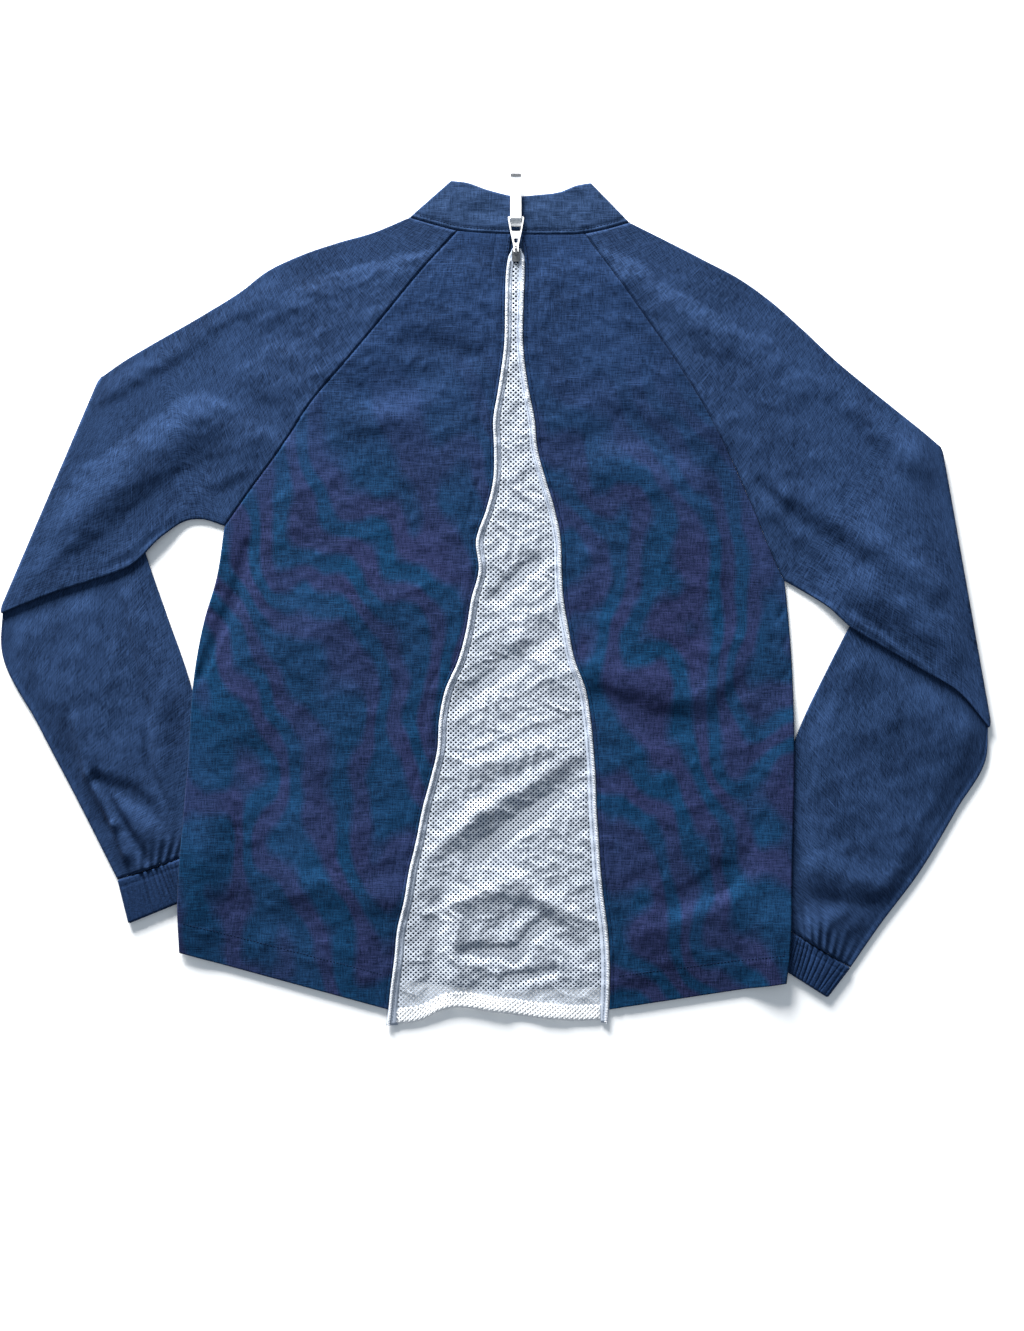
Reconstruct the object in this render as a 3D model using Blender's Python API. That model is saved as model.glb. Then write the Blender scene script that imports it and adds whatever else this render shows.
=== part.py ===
# A chambray raglan jacket for fencing, laid flat on a table with its back up.
# The centre back zip is open from the hem, and a wedge of sports mesh spreads
# between its halves. Both sleeves are folded under at the elbow. Every cloth
# piece is a wall with an outer and an inner face, worked out from the garment's
# outline, the way its layers lie on each other, and short tables of its folds.
# X runs to the right, Y to the collar, Z up from the table. The tables are in
# millimetres, and each mesh is written in metres.
import math
from collections import namedtuple

import bmesh
import bpy
import numpy as np
from mathutils import Matrix

MM = 0.001

# The cloth and how its layers lie
WALL = 1.2
LAYER_GAP = 0.5
EDGE_R = WALL + LAYER_GAP / 2
INNER_R = LAYER_GAP / 2
SEAM = 0.3
LOFT = 2.6
LOFT_RAMP = 45.0
FOLD_RAMP = 25.0
FOREARM_LOFT = 3.0
FOREARM_RAMP = 32.0

# The elbow fold: four layers wrap round an axis half way up the stack
FOLD_AXIS_Z = 2 * EDGE_R + LAYER_GAP / 2
FOLD_LIFT = 2 * EDGE_R + LAYER_GAP
FOLD_ANGLES = (45, 90, 135)
FOLD_LIFT_START = 12.0
FOLD_LIFT_RAMP = 36.0

# Rows along the body, from the neck to the armpit and on to the hem
RAGLAN_ROWS = 13
SIDE_ROWS = 16
ARMPIT_ZIP_Y = 42.0
NECK_ZIP_Y = 330.0
HEM_ZIP_Y = -369.0
NEAR_SIDE = (20.0, 36.0, 52.0)
NEAR_FULL_LENGTH = 180.0
PANEL_COLUMNS = 4

# The front, which lies under the back
CENTRE_X = 18.4
FRONT_NECK_DROP = 26.0
FRONT_NECK_X = 23.0
FRONT_NECK_HALF = 57.5
FRONT_HEM = (-8.0, -352.0)

# Sleeves
ARM_ROWS = 5
FOREARM_ROWS = 8
SLEEVE_COLUMNS = 9
SLEEVE_GATHERS = 5
GATHER_HEIGHT = 0.8
GATHER_LENGTH = 45.0

# Cuffs: a doubled band drawn in by its elastic
CUFF_WALL = 1.6
CUFF_GAP = 1.2
CUFF_R = CUFF_WALL + CUFF_GAP / 2
CUFF_GATHERS = 8
CUFF_GATHER_HEIGHT = 0.7

# Zip, mesh, slider and pull
TAPE_TOP_WIDTH = 5.5
TAPE_HEM_WIDTH = 8.0
TAPE_WALL = 1.2
MESH_WALL = 1.0
MESH_TOP_ROW = 2
MESH_COLUMNS = 11
SLIDER_TOP_Y = 316.5
SLIDER_LENGTH = 12.0
SLIDER_WIDTH = 7.4
SLIDER_PLATE = 1.2
SLIDER_Z = 3.4
BRIDGE_WIDTH = 1.6
BRIDGE_LENGTH = 6.4
BRIDGE_WALL = 1.0
HINGE_Y = 313.5
HINGE_RISE = 1.0
PULL_THICKNESS = 1.2
RIBBON_WIDTH = 10.0
RIBBON_WALL = 0.9
RIBBON_TOP_Y = 383.4

# The garment's outline seen from above, as points (x, y) on smooth curves
NECK = ((-77.9, 344.7), (-56.2, 338.4), (-34.6, 333.0), (-13.1, 330.9), (18.4, 329.8),
        (49.1, 329.3), (80.5, 330.3), (102.2, 334.8), (121.0, 340.2))
COLLAR_TOP = ((-40.1, 378.0), (-25.7, 376.2), (-7.7, 369.9), (18.4, 364.2), (41.0, 365.6),
              (57.1, 367.7), (74.2, 374.0), (86.0, 376.0))

Side = namedtuple("Side", "raglan side over armpit_share fold under fore_inner fore_outer cuff_end")
LEFT = Side(
    raglan=((-34.6, 333.0), (-67.0, 297.0), (-99.5, 257.4), (-131.8, 218.7), (-164.2, 180.9),
            (-195.8, 134.1), (-222.8, 97.2), (-244.3, 66.6)),
    side=((-244.3, 66.6), (-251.6, 18.9), (-262.4, -18.0), (-271.4, -71.1), (-276.8, -147.6),
          (-281.2, -200.7), (-285.8, -279.9), (-284.9, -317.7)),
    over=((-77.9, 344.7), (-110.2, 331.2), (-141.8, 322.2), (-176.0, 310.5), (-207.5, 295.2),
          (-228.2, 279.0), (-264.2, 256.5), (-332.6, 216.0), (-355.9, 202.5)),
    armpit_share=0.78,
    fold=((-355.9, 202.5), (-447.2, -10.8)),
    under=((-244.3, 66.6), (-265.9, 72.9), (-276.8, 72.0), (-298.4, 58.5), (-329.9, 29.7),
           (-355.9, 19.8), (-392.9, 8.1), (-443.2, -14.4)),
    fore_inner=((-355.9, 202.5), (-313.7, 36.9), (-298.4, -7.2), (-273.2, -81.9), (-261.4, -144.0),
                (-263.2, -198.0), (-276.8, -230.4)),
    fore_outer=((-447.2, -10.8), (-445.6, -42.3), (-411.8, -113.4), (-378.4, -177.3), (-340.7, -252.0)),
    cuff_end=((-330.8, -291.6), (-273.2, -268.2)))
RIGHT = Side(
    raglan=((80.5, 330.3), (112.0, 287.1), (134.6, 255.6), (156.2, 225.0), (191.2, 169.2),
            (214.7, 122.4), (236.2, 72.9), (253.3, 31.5), (260.6, 17.1)),
    side=((260.6, 17.1), (263.2, -9.0), (266.9, -56.7), (268.7, -144.0), (266.9, -232.2),
          (264.2, -319.5), (261.4, -344.7)),
    over=((121.0, 340.2), (157.1, 322.2), (188.6, 306.0), (219.2, 289.8), (247.1, 270.0),
          (277.7, 243.0), (306.4, 216.0), (338.9, 189.0), (372.2, 162.0), (401.9, 139.5)),
    armpit_share=0.86,
    fold=((401.9, 139.5), (446.9, -114.3)),
    under=((260.6, 17.1), (281.2, 5.4), (299.2, -6.3), (319.1, -24.3), (342.4, -38.7),
           (386.6, -64.8), (416.2, -82.8), (445.1, -111.6)),
    fore_inner=((401.9, 139.5), (318.2, -25.2), (299.2, -62.1), (269.6, -126.9), (255.2, -180.0),
                (251.6, -234.0), (260.6, -279.0), (265.1, -297.9)),
    fore_outer=((446.9, -120.6), (442.4, -141.3), (416.2, -188.1), (381.2, -246.6), (346.1, -293.4),
                (319.9, -331.2)),
    cuff_end=((299.2, -358.2), (255.2, -330.3)))
SIDES = {"left": LEFT, "right": RIGHT}

# The cloth's edges beside the zip, which wave because the tape is longer
ZipRow = namedtuple("ZipRow", "y left right")
ZIP = [ZipRow(*row) for row in (
    (330, 14.2, 22.6), (315, 12.2, 25.7), (297, 9.5, 26.6), (270, 8.6, 25.7), (230, 7.7, 25.2),
    (189, 2.2, 30.2), (162, -2.2, 35.6), (135, -1.4, 38.2), (108, -2.2, 45.5), (81, -8.6, 53.6),
    (54, -17.6, 59.0), (27, -15.3, 59.9), (0, -22.1, 61.6), (-27, -26.6, 66.2), (-54, -33.8, 71.5),
    (-81, -45.5, 81.5), (-108, -50.9, 86.0), (-135, -52.6, 88.7), (-162, -59.0, 90.5),
    (-189, -66.2, 91.4), (-216, -71.5, 93.2), (-243, -77.9, 95.0), (-270, -82.4, 97.7),
    (-297, -88.7, 101.2), (-324, -91.4, 103.0), (-351, -95.0, 103.0), (-383, -98.0, 101.5))]
TAPE_END = {"left": (-98.5, -383.4, -88.0, -382.8), "right": (101.0, -381.0, 95.0, -380.4)}
MESH_HEM = ((-90.0, -381.8), (-65.2, -378.0), (-50.0, -369.9), (4.0, -371.7), (44.6, -377.1),
            (74.2, -378.9), (98.0, -378.0))

# How far the forearm and cuff under each side of the body lift it off the table
Rest = namedtuple("Rest", "y inner_x lift")
RESTS = {
    "left": [Rest(*row) for row in (
        (-20, -276, 0.0), (-60, -273, 3.4), (-144, -261, 3.4), (-198, -263, 3.8),
        (-226, -270, 6.3), (-278, -273, 6.3), (-318, -276, 1.6))],
    "right": [Rest(*row) for row in (
        (-75, 270, 0.0), (-116, 269, 3.4), (-180, 255, 3.4), (-234, 251, 3.4), (-268, 256, 3.8),
        (-292, 254, 6.3), (-345, 254, 6.3))]}
REST_MARGIN = 2.0
REST_RAMP = 32.0

# Folds, each a soft ridge or trough along a line: height is up, width is half its spread
Fold = namedtuple("Fold", "x0 y0 x1 y1 width height")
BACK_FOLDS = [Fold(*row) for row in (
    (18, 326, 18, 298, 22, -1.7),
    (-360, 144, -230, 230, 22, -1.9), (-355, 182, -210, 279, 13, 1.0),
    (-378, 72, -270, 162, 22, 1.6), (-369, 34, -266, 122, 16, -1.5),
    (-392, 4, -266, 79, 13, 1.2), (-248, 193, -190, 156, 13, -1.6),
    (-172, 304, -57, 328, 13, -1.2), (-117, 184, -59, 205, 16, -1.2),
    (-126, 166, -81, 161, 14, 1.0), (-203, 117, -234, 36, 18, -1.6),
    (-234, 36, -260, -58, 14, -1.6), (-189, -257, -90, -269, 14, 1.0),
    (-176, -36, -95, 0, 23, 0.8), (-221, -144, -149, -180, 23, -0.7),
    (106, 328, 252, 257, 13, -1.4), (121, 290, 203, 235, 14, 1.2),
    (152, 287, 227, 253, 18, -1.2), (306, 184, 387, 117, 14, 1.3),
    (297, 168, 410, 40, 22, -2.0), (265, 90, 391, 14, 14, 1.6),
    (270, 78, 331, 34, 11, -1.6), (337, 0, 418, -36, 18, 1.0),
    (209, 120, 227, -5, 18, -1.6), (227, -5, 258, -81, 16, -1.6),
    (70, 135, 118, 156, 14, -1.0), (118, 156, 167, 131, 14, -1.0),
    (92, -68, 189, -90, 18, 1.2), (92, -85, 152, -114, 13, -1.5),
    (152, -114, 207, -104, 13, -1.2), (161, -275, 201, -254, 13, -1.3),
    (201, -254, 238, -226, 11, -1.3), (139, -297, 220, -274, 16, 1.0))]
MESH_FOLDS = [Fold(*row) for row in (
    (2, 4, 36, 31, 9, -1.6), (-33, -89, 60, -26, 12, -1.6), (-24, -152, 48, -131, 12, 1.2),
    (-63, -232, -14, -191, 12, 1.6), (-14, -191, 78, -137, 12, 1.2), (-18, -231, 78, -157, 12, -1.7),
    (-27, -316, 18, -320, 10, -1.6), (18, -320, 45, -289, 10, -1.6), (26, -263, 72, -284, 10, 1.4),
    (-54, -274, -56, -350, 10, -1.6), (-36, -274, -36, -346, 12, 1.2), (-50, -371, 4, -373, 14, 1.8))]
FOREARM_FOLDS = [Fold(*row) for row in (
    (-347, 1, -319, -89, 9, -1.6), (-331, 0, -295, -90, 13, 0.6), (-362, -160, -332, -173, 10, -1.6),
    (-332, -173, -294, -201, 10, -1.5), (-341, -180, -315, -209, 11, 0.8),
    (272, -238, 350, -259, 13, 0.9), (281, -270, 341, -276, 10, -1.8),
    (337, -144, 391, -198, 20, -0.9), (369, -90, 409, -126, 18, 0.6))]

# Each piece's colour, roughness and metallic value
FINISHES = {
    "chambray": ((0.045, 0.085, 0.235), 0.85, 0.0),
    "chambray_cuff": ((0.042, 0.080, 0.225), 0.88, 0.0),
    "chambray_collar": ((0.047, 0.088, 0.240), 0.85, 0.0),
    "zip_tape": ((0.80, 0.82, 0.86), 0.75, 0.0),
    "mesh": ((0.86, 0.87, 0.90), 0.80, 0.0),
    "slider_metal": ((0.22, 0.22, 0.23), 0.35, 1.0),
    "pull_metal": ((0.62, 0.62, 0.63), 0.28, 1.0),
    "ribbon": ((0.88, 0.88, 0.89), 0.70, 0.0)}


def smooth(t):
    """Rises from 0 to 1 with level ends."""
    t = np.clip(t, 0.0, 1.0)
    return t * t * (3 - 2 * t)


def hermite(key, rows, at):
    """Rows of values at rising keys, read at any place on the smooth curve through them."""
    key = np.asarray(key, float)
    rows = np.asarray(rows, float).reshape(len(key), -1)
    slope = np.gradient(rows, key, axis=0)
    at = np.clip(np.asarray(at, float), key[0], key[-1])
    i = np.clip(np.searchsorted(key, at, side="right") - 1, 0, len(key) - 2)
    span = (key[i + 1] - key[i])[:, None]
    u = (at - key[i])[:, None] / span
    start = (2 * u**3 - 3 * u**2 + 1) * rows[i] + (u**3 - 2 * u**2 + u) * span * slope[i]
    end = (3 * u**2 - 2 * u**3) * rows[i + 1] + (u**3 - u**2) * span * slope[i + 1]
    return start + end


def curve(points, shares):
    """Points on a smooth curve, at shares of its length."""
    points = np.asarray(points, float)
    length = np.concatenate([[0], np.cumsum(np.hypot(*np.diff(points, axis=0).T))])
    return hermite(length / length[-1], points, np.asarray(shares, float))


def neck_y(x):
    """Where the neck seam lies, across the garment."""
    return hermite([p[0] for p in NECK], [p[1] for p in NECK], x)[:, 0]


def front_drop(x):
    """How far the front neck is cut below the back neck."""
    return FRONT_NECK_DROP * np.clip(1 - ((x - FRONT_NECK_X) / FRONT_NECK_HALF)**2, 0, 1)


def zip_x(side, y):
    """The cloth's edge beside the zip."""
    return hermite([-row.y for row in ZIP], [getattr(row, side) for row in ZIP], -np.asarray(y, float))[:, 0]


def distance_to(x0, y0, x1, y1, x, y):
    """Distance from places to a straight stretch."""
    dx, dy = x1 - x0, y1 - y0
    t = np.clip(((x - x0) * dx + (y - y0) * dy) / (dx * dx + dy * dy), 0, 1)
    return np.hypot(x - x0 - t * dx, y - y0 - t * dy)


def depth_inside(outline, x, y):
    """How far places lie inside a closed outline; 0 outside it."""
    depth = np.full(np.shape(x), 1e9)
    inside = np.zeros(np.shape(x), bool)
    for (x0, y0), (x1, y1) in zip(outline, np.roll(outline, -1, axis=0)):
        depth = np.minimum(depth, distance_to(x0, y0, x1, y1, x, y))
        if y0 != y1:
            crosses = ((y0 > y) != (y1 > y)) & (x < (x1 - x0) * (y - y0) / (y1 - y0) + x0)
            inside ^= crosses
    return np.where(inside, depth, 0.0)


def relief(folds, x, y):
    """Height that a table of folds adds."""
    total = np.zeros(np.shape(x))
    for fold in folds:
        spread = distance_to(fold.x0, fold.y0, fold.x1, fold.y1, x, y) / fold.width
        total += fold.height * np.exp(-spread**2)
    return total


def garment_outline():
    """The body and upper arms from above, as one closed outline."""
    shares = np.linspace(0, 1, 14)[:-1]
    parts = [curve(NECK, shares)]
    parts += [curve(RIGHT.over, shares), curve(RIGHT.fold, (0, 0.5))]
    parts += [curve(RIGHT.under[::-1], shares), curve(RIGHT.side, shares)]
    parts += [np.array([RIGHT.side[-1]]), curve(MESH_HEM[::-1], shares)]
    parts += [curve(LEFT.side[::-1], shares), curve(LEFT.under, shares)]
    parts += [curve(LEFT.fold[::-1], (0, 0.5)), curve(LEFT.over[::-1], shares)]
    return np.concatenate(parts)


def forearm_outline(side):
    """The part of a forearm that nothing covers, run on past the cuff."""
    s = SIDES[side]
    shares = np.linspace(0, 1, 14)
    under = curve(s.under[2:], shares)
    outer = curve(s.fore_outer, shares)
    past = np.array([s.cuff_end[0]]) * 1.2 - np.array([s.fore_outer[-1]]) * 0.2
    side_edge = curve(s.side[::-1], shares)
    inner = curve(s.fore_inner[1:4], shares)[::-1]
    body_x = side_edge[side_edge[:, 1] < inner[0][1]]
    return np.concatenate([under, outer, past, body_x, inner])


GARMENT = garment_outline()
FOREARM = {side: forearm_outline(side) for side in SIDES}


def arm_lift(side, x, y):
    """How far the folded forearm lifts the upper arm: full over it, and falling towards the body."""
    (x0, y0), (x1, y1) = SIDES[side].fore_inner[:2]
    length = math.hypot(x1 - x0, y1 - y0)
    towards_body = ((x - x0) * (y0 - y1) + (y - y0) * (x1 - x0)) / length
    if side == "right":
        towards_body = -towards_body
    return FOLD_LIFT * (1 - smooth((towards_body - FOLD_LIFT_START) / FOLD_LIFT_RAMP))


def body_lift(x, y):
    """How far the forearms and cuffs under its sides lift the body."""
    total = np.zeros(np.shape(x))
    for side, rows in RESTS.items():
        flat_y = np.ravel(y)
        key = [-row.y for row in rows]
        inner_x = np.interp(-flat_y, key, [row.inner_x for row in rows]).reshape(np.shape(x))
        lift = np.interp(-flat_y, key, [row.lift for row in rows], left=0.0).reshape(np.shape(x))
        inwards = (x - inner_x) if side == "left" else (inner_x - x)
        total += lift * (1 - smooth((inwards - REST_MARGIN) / REST_RAMP))
    return total


def top_height(x, y, lift):
    """Upper face of the uppermost cloth layer of the body and upper arms."""
    depth = depth_inside(GARMENT, x, y)
    puff = LOFT * smooth(depth / LOFT_RAMP)
    rise = puff + relief(BACK_FOLDS, x, y) * smooth(depth / FOLD_RAMP)
    return lift + 2 * EDGE_R + np.maximum(rise, 0)


def forearm_height(side, x, y):
    """Upper face of a forearm."""
    depth = depth_inside(FOREARM[side], x, y)
    puff = FOREARM_LOFT * smooth((depth - 6.0) / FOREARM_RAMP)
    rise = puff + relief(FOREARM_FOLDS, x, y) * smooth((depth - 6.0) / FOLD_RAMP)
    return 2 * EDGE_R + np.maximum(rise, 0)


def zip_rows():
    """Heights on the zip where the body's rows end, from the neck to the hem."""
    upper = np.linspace(NECK_ZIP_Y, ARMPIT_ZIP_Y, RAGLAN_ROWS)
    return np.concatenate([upper, np.linspace(ARMPIT_ZIP_Y, HEM_ZIP_Y, SIDE_ROWS)[1:]])


def side_points(side):
    """The body's outer ends: down the raglan seam, then down the side edge."""
    s = SIDES[side]
    upper = curve(s.raglan, np.linspace(0, 1, RAGLAN_ROWS))
    return np.concatenate([upper, curve(s.side, np.linspace(0, 1, SIDE_ROWS)[1:])])


def curled_edge(curl, full_round=False):
    """The turned edge of a layer: rows of (outer inset, inner inset, outer drop, inner drop)."""
    if full_round:
        turns = [(math.pi / 2, math.pi / 2), (math.pi / 4, math.pi / 4)]
    else:
        turns = [(math.acos(SEAM / 2 / EDGE_R), math.acos(SEAM / 2 / INNER_R))]
    rows = []
    for outer, inner in turns:
        rows.append((EDGE_R - EDGE_R * (1 + (math.sin(outer) - 1) * curl),
                     EDGE_R - (EDGE_R + (INNER_R * math.sin(inner) - EDGE_R) * curl),
                     curl * EDGE_R * (1 - math.cos(outer)), curl * INNER_R * (1 - math.cos(inner))))
    return rows + [(EDGE_R, EDGE_R, 0.0, 0.0)]


def body_panel(side, is_back):
    """Outer and inner faces of a back or front panel, row by row from the neck."""
    starts = side_points(side)
    rows = zip_rows()
    outer, inner = [], []
    for k, (start, y) in enumerate(zip(starts, rows)):
        share = k / (len(starts) - 1)
        if is_back:
            end = np.array([zip_x(side, [y])[0], y])
        else:
            top_y = NECK_ZIP_Y - FRONT_NECK_DROP - SEAM
            end = np.array([CENTRE_X, top_y]) * (1 - share) + np.array(FRONT_HEM) * share
        along = end - start
        length = float(np.hypot(*along))
        along = along / length
        on_raglan = k < RAGLAN_ROWS
        curl = 0.0 if on_raglan else 1.0
        shift = 0.8 * SEAM if on_raglan else 0.0
        edge = [(row[0] + shift, row[1] + shift, row[2], row[3]) for row in curled_edge(curl)]
        near = [d * min(1.0, length / NEAR_FULL_LENGTH) for d in NEAR_SIDE]
        far = np.linspace(near[-1], length - SEAM / 2, PANEL_COLUMNS + 1)[1:]
        stations = edge + [(d, d, 0.0, 0.0) for d in near + list(far)]
        face_rows = []
        for t_column, drop_column, is_outer in ((0, 2, True), (1, 3, False)):
            t = np.array([row[t_column] for row in stations])
            drop = np.array([row[drop_column] for row in stations])
            x = start[0] + along[0] * t
            y_row = start[1] + along[1] * t
            if k == 0:
                y_row = neck_y(x) - SEAM
                if not is_back:
                    y_row = y_row - front_drop(x) - 2 * SEAM
            lift = body_lift(x, y_row)
            if is_back:
                z = top_height(x, y_row, lift) - drop - (0 if is_outer else WALL)
            else:
                z = lift + drop + (0 if is_outer else WALL)
            face_rows.append(np.stack([x, y_row, z], axis=-1))
        outer.append(face_rows[0])
        inner.append(face_rows[1])
    return np.array(outer), np.array(inner)


def fold_frame(side):
    """The elbow fold's outward direction, and its axis ends inside the outline."""
    top, low = np.array(SIDES[side].fold)
    along = (low - top) / np.hypot(*(low - top))
    outward = np.array([along[1], -along[0]])
    if (outward[0] > 0) != (side == "right"):
        outward = -outward
    return outward, top - outward * FOLD_AXIS_Z, low - outward * FOLD_AXIS_Z


def sleeve_rows(side):
    """Section lines of a sleeve: (underarm end, over end, angle round the fold, underarm curl)."""
    s = SIDES[side]
    outward, axis_top, axis_low = fold_frame(side)
    raglan = curve(s.raglan, np.linspace(0, 1, RAGLAN_ROWS))
    over = curve(s.over, np.linspace(0, s.armpit_share, RAGLAN_ROWS))
    rows = [(u, o, 0, 0.0) for u, o in zip(raglan, over)]
    shares = np.linspace(0, 1, ARM_ROWS + 1)[1:-1]
    under = curve(list(s.under[:-1]) + [axis_low], shares)
    over = curve(list(s.over[:-1]) + [axis_top], s.armpit_share + (1 - s.armpit_share) * shares)
    rows += [(u, o, 0, 1.0) for u, o in zip(under, over)]
    rows += [(axis_low, axis_top, angle, 1.0) for angle in (0,) + FOLD_ANGLES + (180,)]
    shares = np.linspace(0, 1, FOREARM_ROWS + 1)[1:]
    outer = curve([axis_low] + list(s.fore_outer[1:]), shares)
    inner = curve([axis_top] + list(s.fore_inner[1:]), shares)
    rows += [(u, o, 180, 1.0) for u, o in zip(outer, inner)]
    return rows


def sleeve(side):
    """Outer and inner faces of a sleeve: underarm seam, round the over edge, and back."""
    outward, _, _ = fold_frame(side)
    rows = sleeve_rows(side)
    last = len(rows) - 1
    cuff_line = np.array([rows[-1][0], rows[-1][1]])
    outer, inner = [], []
    for k, (start, end, angle, curl) in enumerate(rows):
        along = end - start
        length = float(np.hypot(*along))
        along = along / length
        on_raglan = k < RAGLAN_ROWS
        shift = 0.8 * SEAM if on_raglan else 0.0
        seam_edge = [(a + shift, b + shift, c, d) for a, b, c, d in curled_edge(curl)]
        over_edge = [(length - a, length - b, c, d) for a, b, c, d in curled_edge(1.0, True)][::-1]
        middle = np.linspace(EDGE_R + shift, length - EDGE_R, SLEEVE_COLUMNS + 1)[1:-1]
        layer_a = seam_edge + [(d, d, 0.0, 0.0) for d in middle] + over_edge
        layer_b = layer_a[:-1][::-1]
        turn = math.radians(angle)
        face_rows = []
        for t_column, drop_column, is_outer in ((0, 2, True), (1, 3, False)):
            wall = 0 if is_outer else WALL
            points = []
            for is_a, stations in ((True, layer_a), (False, layer_b)):
                t = np.array([row[t_column] for row in stations])
                drop = np.array([row[drop_column] for row in stations]) + wall
                x = start[0] + along[0] * t
                y = start[1] + along[1] * t
                if k == 0:
                    y = neck_y(x) - SEAM
                if angle == 0:
                    lift = arm_lift(side, x, y)
                    z = top_height(x, y, lift) - drop if is_a else lift + drop
                elif angle == 180:
                    height = forearm_height(side, x, y) - drop
                    from_cuff = distance_to(*cuff_line[0], *cuff_line[1], x, y)
                    wave = np.cos(2 * math.pi * SLEEVE_GATHERS * t / length) * np.sin(math.pi * t / length)
                    height = height + GATHER_HEIGHT * wave * (1 - smooth(from_cuff / GATHER_LENGTH))
                    z = drop if is_a else height
                else:
                    radius = FOLD_AXIS_Z - drop if is_a else LAYER_GAP / 2 + drop
                    x = x + outward[0] * radius * math.sin(turn)
                    y = y + outward[1] * radius * math.sin(turn)
                    z = FOLD_AXIS_Z + radius * math.cos(turn)
                if k == last:
                    towards_cuff = np.array(SIDES[side].cuff_end[0]) - start
                    towards_cuff = towards_cuff / np.hypot(*towards_cuff)
                    x = x - towards_cuff[0] * SEAM / 2
                    y = y - towards_cuff[1] * SEAM / 2
                points.append(np.stack([x, y, z], axis=-1))
            face_rows.append(np.concatenate(points))
        outer.append(face_rows[0])
        inner.append(face_rows[1])
    return np.array(outer), np.array(inner)


def cuff(side):
    """Outer and inner faces of a cuff: a flattened ring with gathers, in three rows."""
    s = SIDES[side]
    starts = np.array([s.fore_outer[-1], s.cuff_end[0]])
    ends = np.array([s.fore_inner[-1], s.cuff_end[1]])
    towards = (starts[1] - starts[0]) / np.hypot(*(starts[1] - starts[0]))
    outer, inner = [], []
    for share in (0.0, 0.5, 1.0):
        start = starts[0] * (1 - share) + starts[1] * share + towards * SEAM / 2 * (1 - share)
        end = ends[0] * (1 - share) + ends[1] * share + towards * SEAM / 2 * (1 - share)
        along = end - start
        length = float(np.hypot(*along))
        along = along / length
        top_t = np.linspace(0, 1, 2 * CUFF_GATHERS + 1)
        wave = 0.5 - 0.5 * np.cos(2 * math.pi * CUFF_GATHERS * top_t)
        flat = length - 2 * CUFF_R
        for faces, radius, wall in ((outer, CUFF_R, 0.0), (inner, CUFF_GAP / 2, CUFF_WALL)):
            ring = []
            for t, height in zip(top_t, wave):
                ring.append((CUFF_R + flat * t, 2 * CUFF_R - wall + CUFF_GATHER_HEIGHT * height))
            ring += [(CUFF_R + flat + radius * math.sin(a), CUFF_R + radius * math.cos(a))
                     for a in (math.pi / 4, math.pi / 2, 3 * math.pi / 4)]
            ring += [(CUFF_R + flat * t, wall) for t in (1.0, 0.66, 0.33, 0.0)]
            ring += [(CUFF_R - radius * math.sin(a), CUFF_R - radius * math.cos(a))
                     for a in (math.pi / 4, math.pi / 2, 3 * math.pi / 4)]
            faces.append(np.array([(start[0] + along[0] * t, start[1] + along[1] * t, z) for t, z in ring]))
    return np.array(outer), np.array(inner)


def collar():
    """Outer and inner faces of the stand collar, from centre front round the back."""
    u = np.linspace(0, 1, 17)
    seam_line = curve(NECK, u)
    seam_line[:, 1] = neck_y(seam_line[:, 0])
    top_line = curve(COLLAR_TOP, u)
    outer, inner = [], []
    for share in (0.0, 0.35, 0.7, 1.0):
        path = seam_line * (1 - share) + top_line * share
        if share == 0.0:
            path[:, 1] += SEAM / 2
        length = np.concatenate([[0], np.cumsum(np.hypot(*np.diff(path, axis=0).T))])
        total = length[-1]
        if share == 0.0:
            neck_x = {side: body_panel(side, False)[0][0][:, 0] for side in SIDES}
            places = {side: np.interp(x, path[:, 0], length) / total for side, x in neck_x.items()}
        edge = curled_edge(1.0, True)
        back = list(np.linspace(EDGE_R, total - EDGE_R, 17)[1:-1])
        past_left = places["left"][0] * total * np.array([0.67, 0.33])
        front_left = [*(places["left"][::-1] * total), *past_left]
        past_right = total - (1 - places["right"][0]) * total * np.array([0.33, 0.67])
        front_right = [*past_right, *(places["right"] * total)]
        for faces, column, wall in ((outer, 0, 0.0), (inner, 1, WALL)):
            ring = [(t, False, wall) for t in front_left]
            ring += [(row[column], False, row[column + 2] + wall) for row in edge[::-1]]
            ring += [(row[column], True, row[column + 2] + wall) for row in edge[1:]]
            ring += [(t, True, wall) for t in back]
            ring += [(total - row[column], True, row[column + 2] + wall) for row in edge[::-1]]
            ring += [(total - row[column], False, row[column + 2] + wall) for row in edge[1:]]
            ring += [(t, False, wall) for t in front_right]
            points = []
            for t, is_back, drop in ring:
                x = float(np.interp(t, length, path[:, 0]))
                y = float(np.interp(t, length, path[:, 1]))
                if is_back:
                    points.append((x, y, 2 * EDGE_R - drop))
                else:
                    points.append((x, y - float(front_drop(np.array(x))), drop))
            faces.append(np.array(points))
    return np.array(outer), np.array(inner)


def tape_width(y):
    """The zip tape narrows towards its top, where the halves close up."""
    return np.interp(y, [HEM_ZIP_Y, NECK_ZIP_Y], [TAPE_HEM_WIDTH, TAPE_TOP_WIDTH])


def tape_edges(side, y):
    """A tape's edge beside the cloth and its edge beside the mesh."""
    sign = 1 if side == "left" else -1
    outer_x = zip_x(side, y) + sign * SEAM / 2
    inner_x = outer_x + sign * tape_width(y)
    limit = CENTRE_X - sign * SEAM
    inner_x = np.minimum(inner_x, limit) if side == "left" else np.maximum(inner_x, limit)
    return outer_x, inner_x


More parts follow.
